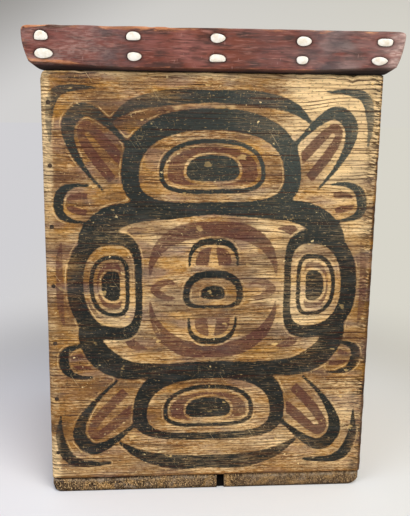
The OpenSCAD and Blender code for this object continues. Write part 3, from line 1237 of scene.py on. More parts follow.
@dataclass
class BentPlank:
    """One plank bent into four walls, with its ends lapped at the front left corner."""

    thickness: float = 18.0
    corner_radius: float = 7.0
    lip: float = 6.5
    joint_gap: float = 0.3
    kerf_depth: float = 6.0
    kerf_half: float = 0.8
    front_step: float = 2.1
    wall_step: float = 10.0
    row_step: float = 2.3
    edge_rows: tuple[float, ...] = (0, 0.5, 1.2, 2.2)
    arc_points: int = 8
    peg_play: float = 0.25
    adze: tuple[Patchwork, ...] = (Patchwork(46, 30, 11, 0.35), Patchwork(19, 11, 12, 0.25))
    edge_radius: float = 1.2
    edge_wear: Patchwork = Patchwork(13, 1, 13, 1.6)
    notched_along: tuple[Fade, ...] = ((184, 197), (214, 203))
    notches: Patchwork = Patchwork(20, 6.5, 14)
    notch_levels: Fade = (0.35, 0.9)
    notch_depth: float = 0.4
    chip_x: float = 161.0
    chip_depth: float = 3.2
    chip_run: float = 4.5
    lap_wear: float = 8.0
    lap_slope: float = 40.0
    nicks: Patchwork = Patchwork(9, 1, 15)
    nick_depth: float = 1.3
    nick_reach: float = 18.0
    plain_tone: float = -0.083
    clouds: tuple[Patchwork, ...] = (Patchwork(90, 64, 21, 0.16), Patchwork(34, 22, 22, 0.096))
    pale_edge: Fade = (6.0, 2.0)
    pale_tone: float = 0.32
    rubbing: Patchwork = Patchwork(58, 40, 23, 0.26)
    unrubbed: float = 0.143
    low: Array = field(init=False)
    high: Array = field(init=False)

    def __post_init__(self) -> None:
        """Takes the walls' outside from the frame."""
        self.low, self.high = (np.array(corner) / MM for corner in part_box("side_plank"))

    def height(self) -> float:
        """Height of the plank."""
        return self.high[2] - self.low[2]

    def outside(self) -> Outline:
        """Outer outline from the lip's tip round to the end of the left wall.

        Returns:
            The outline, measured from the middle of the front.
        """
        half, r = self.high[:2], self.corner_radius
        lip_turn = 180 + math.degrees(math.asin((r - self.lip) / r))
        corners = [(-1, -1, lip_turn, 270), (1, -1, 270, 360), (1, 1, 0, 90), (-1, 1, 90, 180)]
        facing = np.array([(0, -1), (1, 0), (0, 1), (-1, 0)], float)
        last = np.array([-half[0], -half[1] + self.lip + self.joint_gap])
        turns = [np.radians(np.linspace(start, end, self.arc_points)) for _, _, start, end in corners]
        arcs = [np.stack([np.cos(turn), np.sin(turn)], 1) for turn in turns]
        bends = [np.array(corner[:2]) * (half - r) + r * arc for corner, arc in zip(corners, arcs)]
        spot, out = [], []
        for side, (bend, arc) in enumerate(zip(bends, arcs)):
            end = bends[side + 1][0] if side < 3 else last
            step = self.wall_step if side else self.front_step
            count = max(2, round(np.linalg.norm(end - bend[-1]) / step))
            share = np.linspace(0, 1, count + 1)[1:-1, None]
            spot += [bend, bend[-1] + share * (end - bend[-1])]
            out += [arc, np.tile(facing[side], (count - 1, 1))]
        spot = np.concatenate([*spot, last[None]])
        out = np.concatenate([*out, facing[3:]])
        run = np.concatenate([[0], np.cumsum(np.linalg.norm(np.diff(spot, axis=0), axis=1))])
        front = np.abs(spot[:, 1] - self.low[1]) < SAME_MM
        return Outline(run - np.interp(0.0, spot[front, 0], run[front]), spot, out)

    def inside(self) -> Array:
        """Inner outline from the left wall's end back round to the lip, kerf lines included.

        Returns:
            The points in order.
        """
        w, d = self.high[:2] - self.thickness
        joint_y = -self.high[1] + self.lip
        points = [np.array([-w, joint_y + self.joint_gap])]
        bends = ((-1, 1, (0, -1), (1, 0)), (1, 1, (-1, 0), (0, -1)), (1, -1, (0, 1), (-1, 0)))
        for sx, sy, before, after in bends:
            corner = np.array([sx * w, sy * d])
            points.append(corner + np.array(before) * self.kerf_half)
            points.append(corner + np.array([sx, sy]) * self.kerf_depth / math.sqrt(2))
            points.append(corner + np.array(after) * self.kerf_half)
        shoulder = -w + self.joint_gap
        return np.array([*points, (shoulder, -d), (shoulder, joint_y)])

    def rows(self) -> Array:
        """Heights of the mesh's rows, closer together at both edges.

        Returns:
            The heights, from the lowest.
        """
        near = np.array(self.edge_rows)
        low, high = self.low[2], self.high[2]
        count = round((high - low - 2 * near[-1]) / self.row_step)
        middle = np.linspace(low + near[-1], high - near[-1], count + 1)[1:-1]
        return np.concatenate([low + near, middle, high - near[::-1]])

    def relief(self, along: Array, up: Array) -> Array:
        """Depth that hand tools and wear took off the outside.

        Args:
            along: millimetres along the plank from the middle of the front.
            up: height above the plank's lower edge.

        Returns:
            Millimetres inward.
        """
        adze = sum(waves.at(along, up) for waves in self.adze)
        edge = np.minimum(up, self.height() - up)
        radius = self.edge_radius + self.edge_wear.at(along, 0 * up)
        rounding = radius - np.sqrt(np.maximum(radius ** 2 - np.maximum(radius - edge, 0) ** 2, 0))
        notched = smoothstep(*self.notch_levels, self.notches.at(along, up))
        return adze + rounding + faded(along, *self.notched_along) * self.notch_depth * notched

    def worn_top(self, along: Array) -> Array:
        """Millimetres that wear took off the top edge along the plank, most at its lapped corner.

        Args:
            along: millimetres from the middle of the front.

        Returns:
            Millimetres downward.
        """
        chip = self.chip_depth * bell(along, self.chip_x, self.chip_run)
        near = np.clip(1 - (along + self.high[0]) / self.lap_wear, 0, 1)
        behind = np.clip(1 - (along.max() - along) / self.lap_slope, 0, 1)
        lapped = self.lap_wear * (1 - np.sqrt(1 - near ** 2) + behind ** 2)
        return chip + lapped + self.nick_depth * self.nicks.at(along, 0 * along) ** 2

    def age_and_painted_light(self, along: Array, up: Array) -> dict[str, Array]:
        """How age has changed the outside from place to place, and where light and shade are painted on it.

        Args:
            along: millimetres along the plank from the middle of the front.
            up: height above the plank's lower edge.

        Returns:
            The wood's tone, painted light and shade included, the paint's rubbing, and the strength of brown
            film, ridges and grey dust.
        """
        aged = {name: np.zeros(len(along)) for name in ("tone", "rub", "film", "ridged", "greyed")}
        for zone in ZONES_OF_AGE_AND_LIGHT.values():
            share = faded(along, *zone.along) * faded(up, *zone.up)
            for name, values in aged.items():
                values += getattr(zone, name) * share
        aged["tone"] += self.plain_tone + sum(cloud.at(along, up) for cloud in self.clouds)
        # The top edge is paler: worn wood, with a painted highlight along it
        aged["tone"] += self.pale_tone * smoothstep(*self.pale_edge, self.height() - up)
        aged["rub"] += self.rubbing.at(along, up) - self.unrubbed
        aged["film"] = np.clip(1 + aged["film"], 0, 1)
        aged["ridged"] = np.clip(aged["ridged"], 0, 1)
        return aged

    def build(self, finish: PaintedCedar, painting: FrontPainting) -> None:
        """Builds and dresses the plank.

        Args:
            finish: its material.
            painting: the design on its front.
        """
        outer, inner, rows = self.outside(), self.inside(), self.rows()
        n_out, n_rows, per_row = len(outer.along), len(rows), len(outer.along) + len(inner)
        along, height = np.meshgrid(outer.along, rows)
        up = height - self.low[2]
        near_top = smoothstep(self.height() - self.nick_reach, self.height(), up)
        height = height - self.worn_top(along) * near_top
        spot = outer.spot - self.relief(along, up)[:, :, None] * outer.out
        skin = np.concatenate([spot, height[:, :, None]], axis=2)
        core = np.stack([*np.broadcast_arrays(inner[:, 0], inner[:, 1], rows[:, None])], -1)
        number = np.arange(n_rows * per_row).reshape(n_rows, per_row)
        right = np.roll(number, -1, axis=1)
        faces = np.stack([number[:-1], right[:-1], right[1:], number[1:]], -1).reshape(-1, 4).tolist()
        faces += [number[0][::-1].tolist(), number[-1].tolist()]
        points = np.concatenate([skin, core], axis=1).reshape(-1, 3)
        piece = make_piece("bent_side_plank", points, faces, finish.material())
        board = np.zeros((n_rows, per_row, 3))
        board[:, :n_out, 0] = along
        facing = np.linalg.norm(inner[:, None] - outer.spot, axis=2).argmin(axis=1)
        board[:, n_out:, 0] = outer.along[np.array([n_out - 1, *facing[1:]])]
        board[:, :, 1] = (rows - self.low[2])[:, None]
        board[:, n_out:, 2] = self.thickness
        cut_out(piece, [peg_cutter("corner_pegs", (0, -1, 0), self.peg_play)])
        shade(piece)
        self.dress(piece, painting, self.unbent(piece, points, board.reshape(-1, 3)))
        settle(piece, Body.BOX, Slot.PLANK, "side_plank")

    def unbent(self, piece: bpy.types.Object, points: Array, board: Array) -> Array:
        """Finds each vertex's place on the board as it was before bending, which the cut doesn't keep.

        Args:
            piece: the plank after the cut.
            points: the vertices before the cut.
            board: millimetres along, up and in for each of those.

        Returns:
            The same three numbers for each vertex of the piece.
        """
        tree = KDTree(len(points))
        for number, point in enumerate(points):
            tree.insert(point, number)
        tree.balance()
        now = read_points(piece)
        found = [tree.find(point) for point in now]
        places = board[[number for _, number, _ in found]]
        # The cut's own vertices lie by the front
        fresh = np.array([gap > SAME_MM for _, _, gap in found])
        places[fresh] = np.column_stack([now[fresh, 0], now[fresh, 2] - self.low[2], 0 * now[fresh, 0]])
        return places

    def dress(self, piece: bpy.types.Object, painting: FrontPainting, board: Array) -> None:
        """Stores the painting, the ageing and the painted light and shade at the plank's vertices.

        Args:
            piece: the plank.
            painting: the design on its front.
            board: millimetres along, up and in for each vertex.
        """
        along, up, deep = board.T
        front = (np.abs(along) < self.high[0] + painting.margin) & (deep < 0.5 * self.thickness)
        black, red = np.full(len(board), FAR_MM), np.full(len(board), FAR_MM)
        black[front], red[front] = painting.distances(board[front, :2])
        stored = {"board": board, "black": black, "red": red, **self.age_and_painted_light(along, up)}
        for name, values in stored.items():
            put_values(piece, name, values)


@dataclass
class WornBlock:
    """A board with round corners and worn edges, as a lattice of points on its surface."""

    across: Array
    deep: Array
    tall: Array
    plan_radius: float
    edge_radius: float

    def lattice(self) -> tuple[Array, list, Array]:
        """Builds the block's surface.

        Returns:
            Its points, its faces, and how many lattice steps up each point lies.
        """
        sizes = len(self.across), len(self.deep), len(self.tall)
        grid = np.stack(np.meshgrid(*(np.arange(s) for s in sizes), indexing="ij"), -1)
        on = np.any((grid == 0) | (grid == np.array(sizes) - 1), axis=-1)
        number = np.full(sizes, -1)
        number[on] = np.arange(on.sum())
        i, j, k = grid[on].T
        points = np.stack([self.across[i], self.deep[j], self.tall[k]], 1)
        faces = []
        for axis in range(3):
            for end in (0, -1):
                sheet = np.take(number, end, axis=axis)
                quad = np.stack([sheet[:-1, :-1], sheet[1:, :-1], sheet[1:, 1:], sheet[:-1, 1:]], -1)
                quad = quad.reshape(-1, 4)
                faces += (quad[:, ::-1] if (end == 0) != (axis == 1) else quad).tolist()
        return self.rounded(points), faces, k

    def rounded(self, points: Array) -> Array:
        """Rounds the block's upright corners in plan, and then its edges.

        Args:
            points: points of the sharp block.

        Returns:
            The rounded points.
        """
        half = np.array([self.across[-1], self.deep[-1]])
        inset = half - self.plan_radius
        share = np.clip((np.abs(points[:, :2]) - inset) / self.plan_radius, 0, 1)
        reach, length = share.max(1), np.linalg.norm(share, axis=1)
        squeeze = np.where(length > 0, reach / np.maximum(length, TINY), 1.0)
        corner = np.all(share > 0, axis=1)
        kept = np.minimum(np.abs(points[:, :2]), inset)
        plan = kept + share * self.plan_radius * np.where(corner, squeeze, 1.0)[:, None]
        way = np.where(length[:, None] > 0, share / np.maximum(length, TINY)[:, None], 0.0)
        depth = (1 - reach) * self.plan_radius
        low, high = self.tall[0], self.tall[-1]
        level = np.minimum(points[:, 2] - low, high - points[:, 2])
        a = np.clip(1 - depth / self.edge_radius, 0, 1)
        b = np.clip(1 - level / self.edge_radius, 0, 1)
        both = (a > 0) & (b > 0)
        pull = np.maximum(a, b) / np.maximum(np.hypot(a, b), TINY)
        new_depth = np.where(both, self.edge_radius * (1 - a * pull), depth)
        new_level = np.where(both, self.edge_radius * (1 - b * pull), level)
        plan = plan - way * (new_depth - depth)[:, None]
        upper = points[:, 2] > (low + high) / 2
        z = np.where(upper, high - new_level, low + new_level)
        return np.column_stack([plan * np.where(points[:, :2] < 0, -1, 1), z])


def spaced(half: float, step: float, stops: tuple[float, ...]) -> Array:
    """Lattice places across a board, closer together along both edges.

    Args:
        half: half of the board's width.
        step: the usual spacing.
        stops: distances from the middle that need a place of their own.

    Returns:
        Places from one side to the other.
    """
    edge, near_edge, crowded = 3.0, (0, 0.36, 0.9, 1.8), 0.25
    inner = half - edge
    usual = np.linspace(-inner, inner, max(2, round(2 * inner / step)) + 1)
    wanted = [half - gap for gap in near_edge] + list(stops)
    fixed = np.array(wanted + [-w for w in wanted])
    clear = np.min(np.abs(usual[:, None] - fixed), axis=1) > crowded * step
    return np.unique(np.round(np.concatenate([usual[clear], fixed]), 6))


@dataclass(frozen=True)
class ShellForm:
    """Height and outline of one operculum."""

    height: float
    squareness: float = 2.0
    egg: float = 0.0
    flat: float = 0.0


SHELL_FORMS = {
    "upper_shell_1": ShellForm(10.5, flat=0.5), "upper_shell_2": ShellForm(9.5, flat=0.5),
    "upper_shell_3": ShellForm(10, egg=0.12), "upper_shell_4": ShellForm(10.5, 2.1),
    "upper_shell_5": ShellForm(8.5, 3),
    "lower_shell_1": ShellForm(11), "lower_shell_2": ShellForm(9.5, 2.1, 0.1),
    "lower_shell_3": ShellForm(8.5, 2.3, 0.15, 0.6), "lower_shell_4": ShellForm(9, 2.4),
    "lower_shell_5": ShellForm(9.5, 1.8),
}


@dataclass
class ShellInlay:
    """One operculum, ground to a low dome and set into the lid's leaning face."""

    node: str
    lid: "PlankLid"
    depth: float = 3.0
    proud: float = 1.0
    rim: float = 0.2
    play: float = 0.35
    cutter_reach: float = 4.0
    flat_squareness: float = 3.5
    uneven: float = 0.03
    dome_power: float = 0.7
    tip_share: float = 0.06
    sharp_deg: float = 50.0
    sides: int = 48
    rings: int = 9
    form: ShellForm = field(init=False)
    low: Array = field(init=False)
    high: Array = field(init=False)
    tall: float = field(init=False)
    turn: Array = field(init=False)

    def __post_init__(self) -> None:
        """Takes the shell's box from the frame and its shape from its form."""
        self.form = SHELL_FORMS[self.node]
        self.low, self.high = (np.array(corner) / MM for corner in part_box(self.node))
        self.tall = self.form.height / (2 - self.form.flat)
        self.turn = np.linspace(0, 2 * math.pi, self.sides, endpoint=False)

    def outline(self, grow: float = 0.0) -> Array:
        """Flat outline, wider all round by some millimetres, one row per point.

        Args:
            grow: millimetres that are added all round.

        Returns:
            The points in order.
        """
        form = self.form
        squareness = form.squareness + self.flat_squareness * form.flat * (np.sin(self.turn) < 0)
        x, y = power(np.cos(self.turn), squareness), power(np.sin(self.turn), squareness)
        below, above = (1 - form.flat) * self.tall + grow, self.tall + grow
        half = (self.high[0] - self.low[0]) / 2 + grow
        return np.stack([half * x, np.where(y < 0, below, above) * y * (1 - form.egg * x)], 1)

    def seat(self) -> tuple[Array, Array]:
        """Middle of the shell on the lid's face, and the face's directions across, up and out.

        Returns:
            The middle, and one row per direction.
        """
        lean = math.atan2(self.lid.flare, self.lid.face_height())
        up, out = (0, -math.sin(lean), math.cos(lean)), (0, -math.cos(lean), -math.sin(lean))
        z = self.high[2] - self.tall * math.cos(lean) - self.depth * math.sin(lean)
        middle = np.array([(self.low[0] + self.high[0]) / 2, self.lid.face_y(z), z])
        return middle, np.array([(1, 0, 0), up, out])

    def apart(self, points: Array) -> Array:
        """Millimetres from the shell's edge along the face, or far for points behind it.

        Args:
            points: places on the lid.

        Returns:
            Millimetres, negative within the outline.
        """
        middle, ways = self.seat()
        across, up, out = ((points - middle) @ ways.T).T
        gap = shape_distance(np.stack([across, up], 1), self.outline())
        return np.where(out > -self.depth - 1, gap, FAR_MM)

    def stack(self, layers: list[tuple[Array, float]]) -> tuple[Array, list]:
        """Joins outlines at different depths into a closed form.

        Args:
            layers: each outline with its height out of the lid's face.

        Returns:
            Points on the lid, and faces.
        """
        n = self.sides
        flat = np.concatenate([np.column_stack([o, np.full(n, level)]) for o, level in layers])
        ring = np.arange(n)
        faces = [ring[::-1].tolist()]
        for layer in range(len(layers) - 1):
            a = layer * n + ring
            b = layer * n + np.roll(ring, -1)
            faces += np.stack([a, b, b + n, a + n], 1).tolist()
        faces.append((ring + (len(layers) - 1) * n).tolist())
        middle, ways = self.seat()
        return middle + flat @ ways, faces

    def socket(self, material: bpy.types.Material) -> bpy.types.Object:
        """Cutter for the hole that holds the shell."""
        edge = self.outline(self.play)
        return make_piece("socket", *self.stack([(edge, -self.depth), (edge, self.cutter_reach)]), material)

    def build(self, material: bpy.types.Material) -> None:
        """Builds and dresses the shell.

        Args:
            material: its finish.
        """
        lumps = 1 + np.sin(3 * self.turn + len(self.node) + self.form.height)
        edge = self.outline() * (1 - self.uneven * lumps)[:, None]
        layers = [(edge, -self.depth)]
        for share in np.linspace(1, self.tip_share, self.rings):
            dome = (1 - share ** 2) ** self.dome_power
            layers.append((edge * share, self.rim + (self.proud - self.rim) * dome))
        piece = make_piece(self.node + "_inlay", *self.stack(layers), material)
        shade(piece, self.sharp_deg)
        settle(piece, Body.LID, Slot.SHELL, self.node)


class EdgeWear(NamedTuple):
    """Wear along an edge: its strength, the millimetres it reaches, and what favoured places add to both."""

    strength: float
    more: float
    run: float
    longer: float

    def at(self, gap: Array, favoured: Array | float) -> Array:
        """Wear at a distance from the edge."""
        return (self.strength + self.more * favoured) * np.exp(-gap / (self.run + self.longer * favoured))


@dataclass
class PlankLid:
    """The heavy lid: a flared plank with a bevel, a rim that drops inside the walls and a hollow."""

    bevel: float = 7.0
    reach: float = 10.5
    flare: float = 7.0
    rim_depth: float = 14.0
    rim_width: float = 26.0
    rim_gap: float = 2.0
    rim_slant: float = 0.3
    top_thickness: float = 24.0
    wall: float = 18.0
    step: float = 2.2
    deep_step: float = 7.0
    row_step: float = 2.0
    bevel_rows: tuple[float, ...] = (0, 0.5, 1.2, 2.2, 3.4, 5.2)
    top_rows: tuple[float, ...] = (3.0, 2.0, 1.2, 0.5, 0)
    plan_radius: float = 3.5
    edge_radius: float = 2.0
    end_drop: float = 4.0
    left_end_drop: float = 5.8
    end_run: float = 9.0
    end_reach: float = 16.0
    end_belly: float = 2.4
    sag: float = 3.2
    end_lift: float = 1.6
    bow_run: float = 110.0
    bow_fade: float = 7.0
    left_end: Fade = (-135, -175)
    left_half: Fade = (20, -40)
    upper_wear: EdgeWear = EdgeWear(0.62, 0.48, 2.6, 0.5)
    lower_wear: EdgeWear = EdgeWear(0.04, 1.1, 2.0, 0.4)
    corner_wear: EdgeWear = EdgeWear(0.25, 0.0, 4.0, 0.0)
    worn_patches: Patchwork = Patchwork(26, 20, 31, 1.0, (0.6, 0.0))
    worn_levels: Fade = (0.22, 0.65)
    left_half_wear: float = 0.1
    left_end_wear: float = 0.95
    tool_waves: tuple[Patchwork, ...] = (
        Patchwork(38, 14, 32, 0.3, (0.7, 0.4)), Patchwork(12, 7, 33, 0.2, (-0.5, 0.3)))
    knocks: Patchwork = Patchwork(11, 9, 34, 1.0, (1.0, -1.0))
    knock_levels: Fade = (0.35, 0.95)
    knock_depth: float = 1.4
    bare_play: float = 0.5
    bare_below: float = 15.0
    bare_grime: float = 0.3
    # Painted shade under the face's lower edge and by the seat, and painted shadow round the shells
    edge_shade: Ramp = Ramp(0.92, 0.8, -4.0)
    seat_shade: Ramp = Ramp(0.08, 4.0, 0.0)
    socket_shadow: Ramp = Ramp(0.6, 3.4, 0.2)
    streaks: Patchwork = Patchwork(34, 1, 38)
    streak_levels: Fade = (0.4, 0.7)
    streak_dirt: float = 0.55
    streak_more: float = 0.2
    streak_run: float = 2.0
    streak_longer: float = 1.6
    streak_full: float = 0.6
    dust: tuple[Ramp, ...] = (Ramp(0.2, 0, 60), Ramp(0.8, 70, 140))
    dust_patches: Patchwork = Patchwork(45, 20, 35, 1.0, (0.8, 0.5))
    dust_levels: Fade = (0.1, 0.6)
    dust_least: float = 0.4
    back_dust: float = 0.3
    dust_reach: Fade = (90, 20)
    dusk: tuple[Bump, ...] = (Bump(1.0, -118, 30), Bump(0.3, 55, 35), Bump(1.0, 126, 24))
    brown: Bump = Bump(0.8, -5, 85)
    left_pales: Fade = (-40, -190)
    left_scars: Patchwork = Patchwork(30, 12, 37, 0.2, (0.6, 0.5))
    end_pales: Fade = (190, 211)
    end_reach_back: Fade = (60, 10)
    end_scars: Patchwork = Patchwork(8, 2.4, 36, 0.85, (1.0, 0.0))
    low: Array = field(init=False)
    high: Array = field(init=False)
    half: Array = field(init=False)
    seat: float = field(init=False)
    top: float = field(init=False)

    def __post_init__(self) -> None:
        """Takes the lid's box from the frame."""
        self.low, self.high = (np.array(corner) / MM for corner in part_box("lid"))
        self.half = self.high[:2] - self.reach - self.flare
        self.seat = self.low[2] + self.rim_depth
        self.top = self.high[2] - self.seat

    def face_height(self) -> float:
        """Height of the leaning face above the bevel."""
        return self.top - self.bevel

    def overhang(self, above: Array | float) -> Array:
        """How far the lid stands out past the walls at a height above its seat."""
        return np.interp(above, [0, self.bevel, self.top], [0, self.reach, self.reach + self.flare])

    def face_y(self, z: float) -> float:
        """Place of the front face at a height."""
        return -float(self.half[1] + self.overhang(z - self.seat))

    def bowed_edge(self, x: Array, above: Array) -> Array:
        """Shift in height of the face's lower edge, which hangs in the middle and rises at both ends.

        Args:
            x: places along the lid.
            above: heights above the seat.

        Returns:
            Millimetres upward.
        """
        end = smoothstep(self.half[0] - self.bow_run, self.half[0], np.abs(x))
        higher = np.exp(-(above - self.bevel) / self.bow_fade)
        near = np.where(above < self.bevel, above / self.bevel, higher)
        return (self.end_lift * end - self.sag * (1 - end)) * near

    def over_edge(self, x: Array, above: Array) -> Array:
        """Height over the face's lower edge."""
        return above - self.bevel - self.bowed_edge(x, np.full(len(x), self.bevel))

    def wear(self, points: Array) -> Array:
        """Share of each point's paint that handling has taken, highest along the edges.

        Args:
            points: places on the lid.

        Returns:
            Shares from 0 to 1.
        """
        x, y, above = points[:, 0], points[:, 1], points[:, 2] - self.seat
        out = self.overhang(above)
        end, side = self.half[0] + out - np.abs(x), self.half[1] + out - np.abs(y)
        inward = np.minimum(end, side)
        left, half = smoothstep(*self.left_end, x), smoothstep(*self.left_half, x)
        edges = self.upper_wear.at(self.top - above + inward, half)
        edges = edges + self.lower_wear.at(np.abs(self.over_edge(x, above)) + inward, left)
        edges = edges + self.corner_wear.at(np.maximum(end, 0) + np.maximum(side, 0), 0.0)
        worn = smoothstep(*self.worn_levels, self.worn_patches.at(x, above, y) + self.left_half_wear * half)
        return np.clip(edges, 0, 1) * np.maximum(worn, self.left_end_wear * left)

    def build(self, finish: OchredLid, shells: list[ShellInlay]) -> None:
        """Builds and dresses the lid.

        Args:
            finish: its material.
            shells: the inlays that it has sockets for.
        """
        rim = self.half - self.wall - self.rim_gap
        hollow = rim - self.rim_width
        rows = np.arange(self.bevel, self.top - self.top_rows[0], self.row_step)
        tall = np.concatenate([self.bevel_rows, rows, self.top - np.array(self.top_rows)])
        slant = self.rim_slant
        across, deep = ((rim[i], rim[i] - slant, hollow[i], hollow[i] - slant) for i in (0, 1))
        block = WornBlock(spaced(self.half[0], self.step, across),
                          spaced(self.half[1], self.deep_step, deep),
                          tall, self.plan_radius, self.edge_radius)
        points, faces, level = block.lattice()
        x, above = points[:, 0], points[:, 2]
        in_rim, in_hollow = (
            (level == 0) & np.all(np.abs(points[:, :2]) < edge - slant / 2, axis=1)
            for edge in (rim, hollow))
        past = np.clip((np.abs(x) - self.half[0] + self.end_run) / self.end_run, 0, 1)
        drop = np.where(x < 0, self.left_end_drop, self.end_drop) * (1 - np.sqrt(1 - past ** 2))
        drop = drop * smoothstep(self.top - self.end_reach, self.top, above)
        z = np.where(in_rim, self.low[2], above + self.seat - drop + self.bowed_edge(x, above))
        z = np.where(in_hollow, self.high[2] - self.top_thickness, z)
        flared = points[:, :2] * (1 + self.overhang(above)[:, None] / self.half)
        belly = np.sin(math.pi * np.clip((above - self.bevel) / self.face_height(), 0, 1))
        flared[:, 0] += self.end_belly * belly * x / self.half[0]
        piece = make_piece("inlaid_plank_lid", np.column_stack([flared, z]), faces, finish.material())
        self.knock_about(piece)
        cut_out(piece, [shell.socket(piece.data.materials[0]) for shell in shells])
        shade(piece)
        for name, values in self.age_and_painted_light(read_points(piece), shells).items():
            put_values(piece, name, values)
        settle(piece, Body.LID, Slot.LID, "lid")

    def knock_about(self, piece: bpy.types.Object) -> None:
        """Presses hand-tool waves and knocked edges into the lid.

        Args:
            piece: the lid's mesh.
        """
        points = read_points(piece)
        x, y, z = points.T
        waves = sum(wave.at(x, z, y) for wave in self.tool_waves)
        knocks = smoothstep(*self.knock_levels, self.knocks.at(x, z, y))
        press_in(piece, waves + self.knock_depth * knocks * self.wear(points))

    def unpainted(self, points: Array) -> Array:
        """Whether each point lies on the rim or in the hollow, which were never painted.

        Args:
            points: places on the lid.

        Returns:
            True where the wood is bare.
        """
        hollow = self.half - self.wall - self.rim_gap - self.rim_width
        z, play = points[:, 2], self.bare_play
        inside = np.all(np.abs(points[:, :2]) < hollow + play, axis=1)
        return (z < self.seat - play) | (inside & (z < self.high[2] - self.bare_below))

    def shade_and_grime(self, points: Array, shells: list[ShellInlay]) -> Array:
        """Share of painted shade under the face's lower edge, painted shadow round the shells, and dirt in
        streaks at the upper edge.

        Args:
            points: places on the lid.
            shells: the inlays.

        Returns:
            Shares from 0 to 1.
        """
        x, above = points[:, 0], points[:, 2] - self.seat
        # Painted shade under the face's lower edge and by the seat, and painted shadow round each shell
        shade_and_grime = self.edge_shade.at(self.over_edge(x, above)) + self.seat_shade.at(above)
        for shell in shells:
            shade_and_grime = np.maximum(shade_and_grime, self.socket_shadow.at(shell.apart(points)))
        half = smoothstep(*self.left_half, x)
        streaks = smoothstep(*self.streak_levels, self.streaks.at(x, 0 * x))
        streaks = streaks * (self.streak_dirt + self.streak_more * half)
        run = self.streak_run + self.streak_longer * half
        by_edge = smoothstep(run, self.streak_full, self.top - above)
        return np.maximum(shade_and_grime, streaks * by_edge * (np.abs(points[:, 1]) > self.half[1]))

    def age_and_painted_light(self, points: Array, shells: list[ShellInlay]) -> dict[str, Array]:
        """How age has changed the lid from place to place, with painted shade under the face's lower edge
        and round the shells.

        Args:
            points: places on the lid.
            shells: the inlays, which dirt gathers around.

        Returns:
            Worn paint, grime with painted shade, and the shares of brown, dust, dusk and paleness along the
            lid.
        """
        x, back, above = points[:, 0], points[:, 1] + self.high[1], points[:, 2] - self.seat
        dusty = smoothstep(*self.dust_levels, self.dust_patches.at(x, above, back))
        dusted = sum(ramp.at(x) for ramp in self.dust) * (self.dust_least + (1 - self.dust_least) * dusty)
        near = self.back_dust + (1 - self.back_dust) * smoothstep(*self.dust_reach, back)
        paled = smoothstep(*self.left_pales, x) * self.left_scars.at(x, above, back)
        end = smoothstep(*self.end_pales, x) * smoothstep(*self.end_reach_back, back)
        paled = paled + end * self.end_scars.at(x, above, back)
        bare = self.unpainted(points)
        return {"worn": np.maximum(self.wear(points), bare),
                "shade_and_grime": np.where(bare, self.bare_grime, self.shade_and_grime(points, shells)),
                "browned": self.brown.at(x), "dusted": dusted * near,
                "dusky": sum(bump.at(x) for bump in self.dusk), "paled": paled}


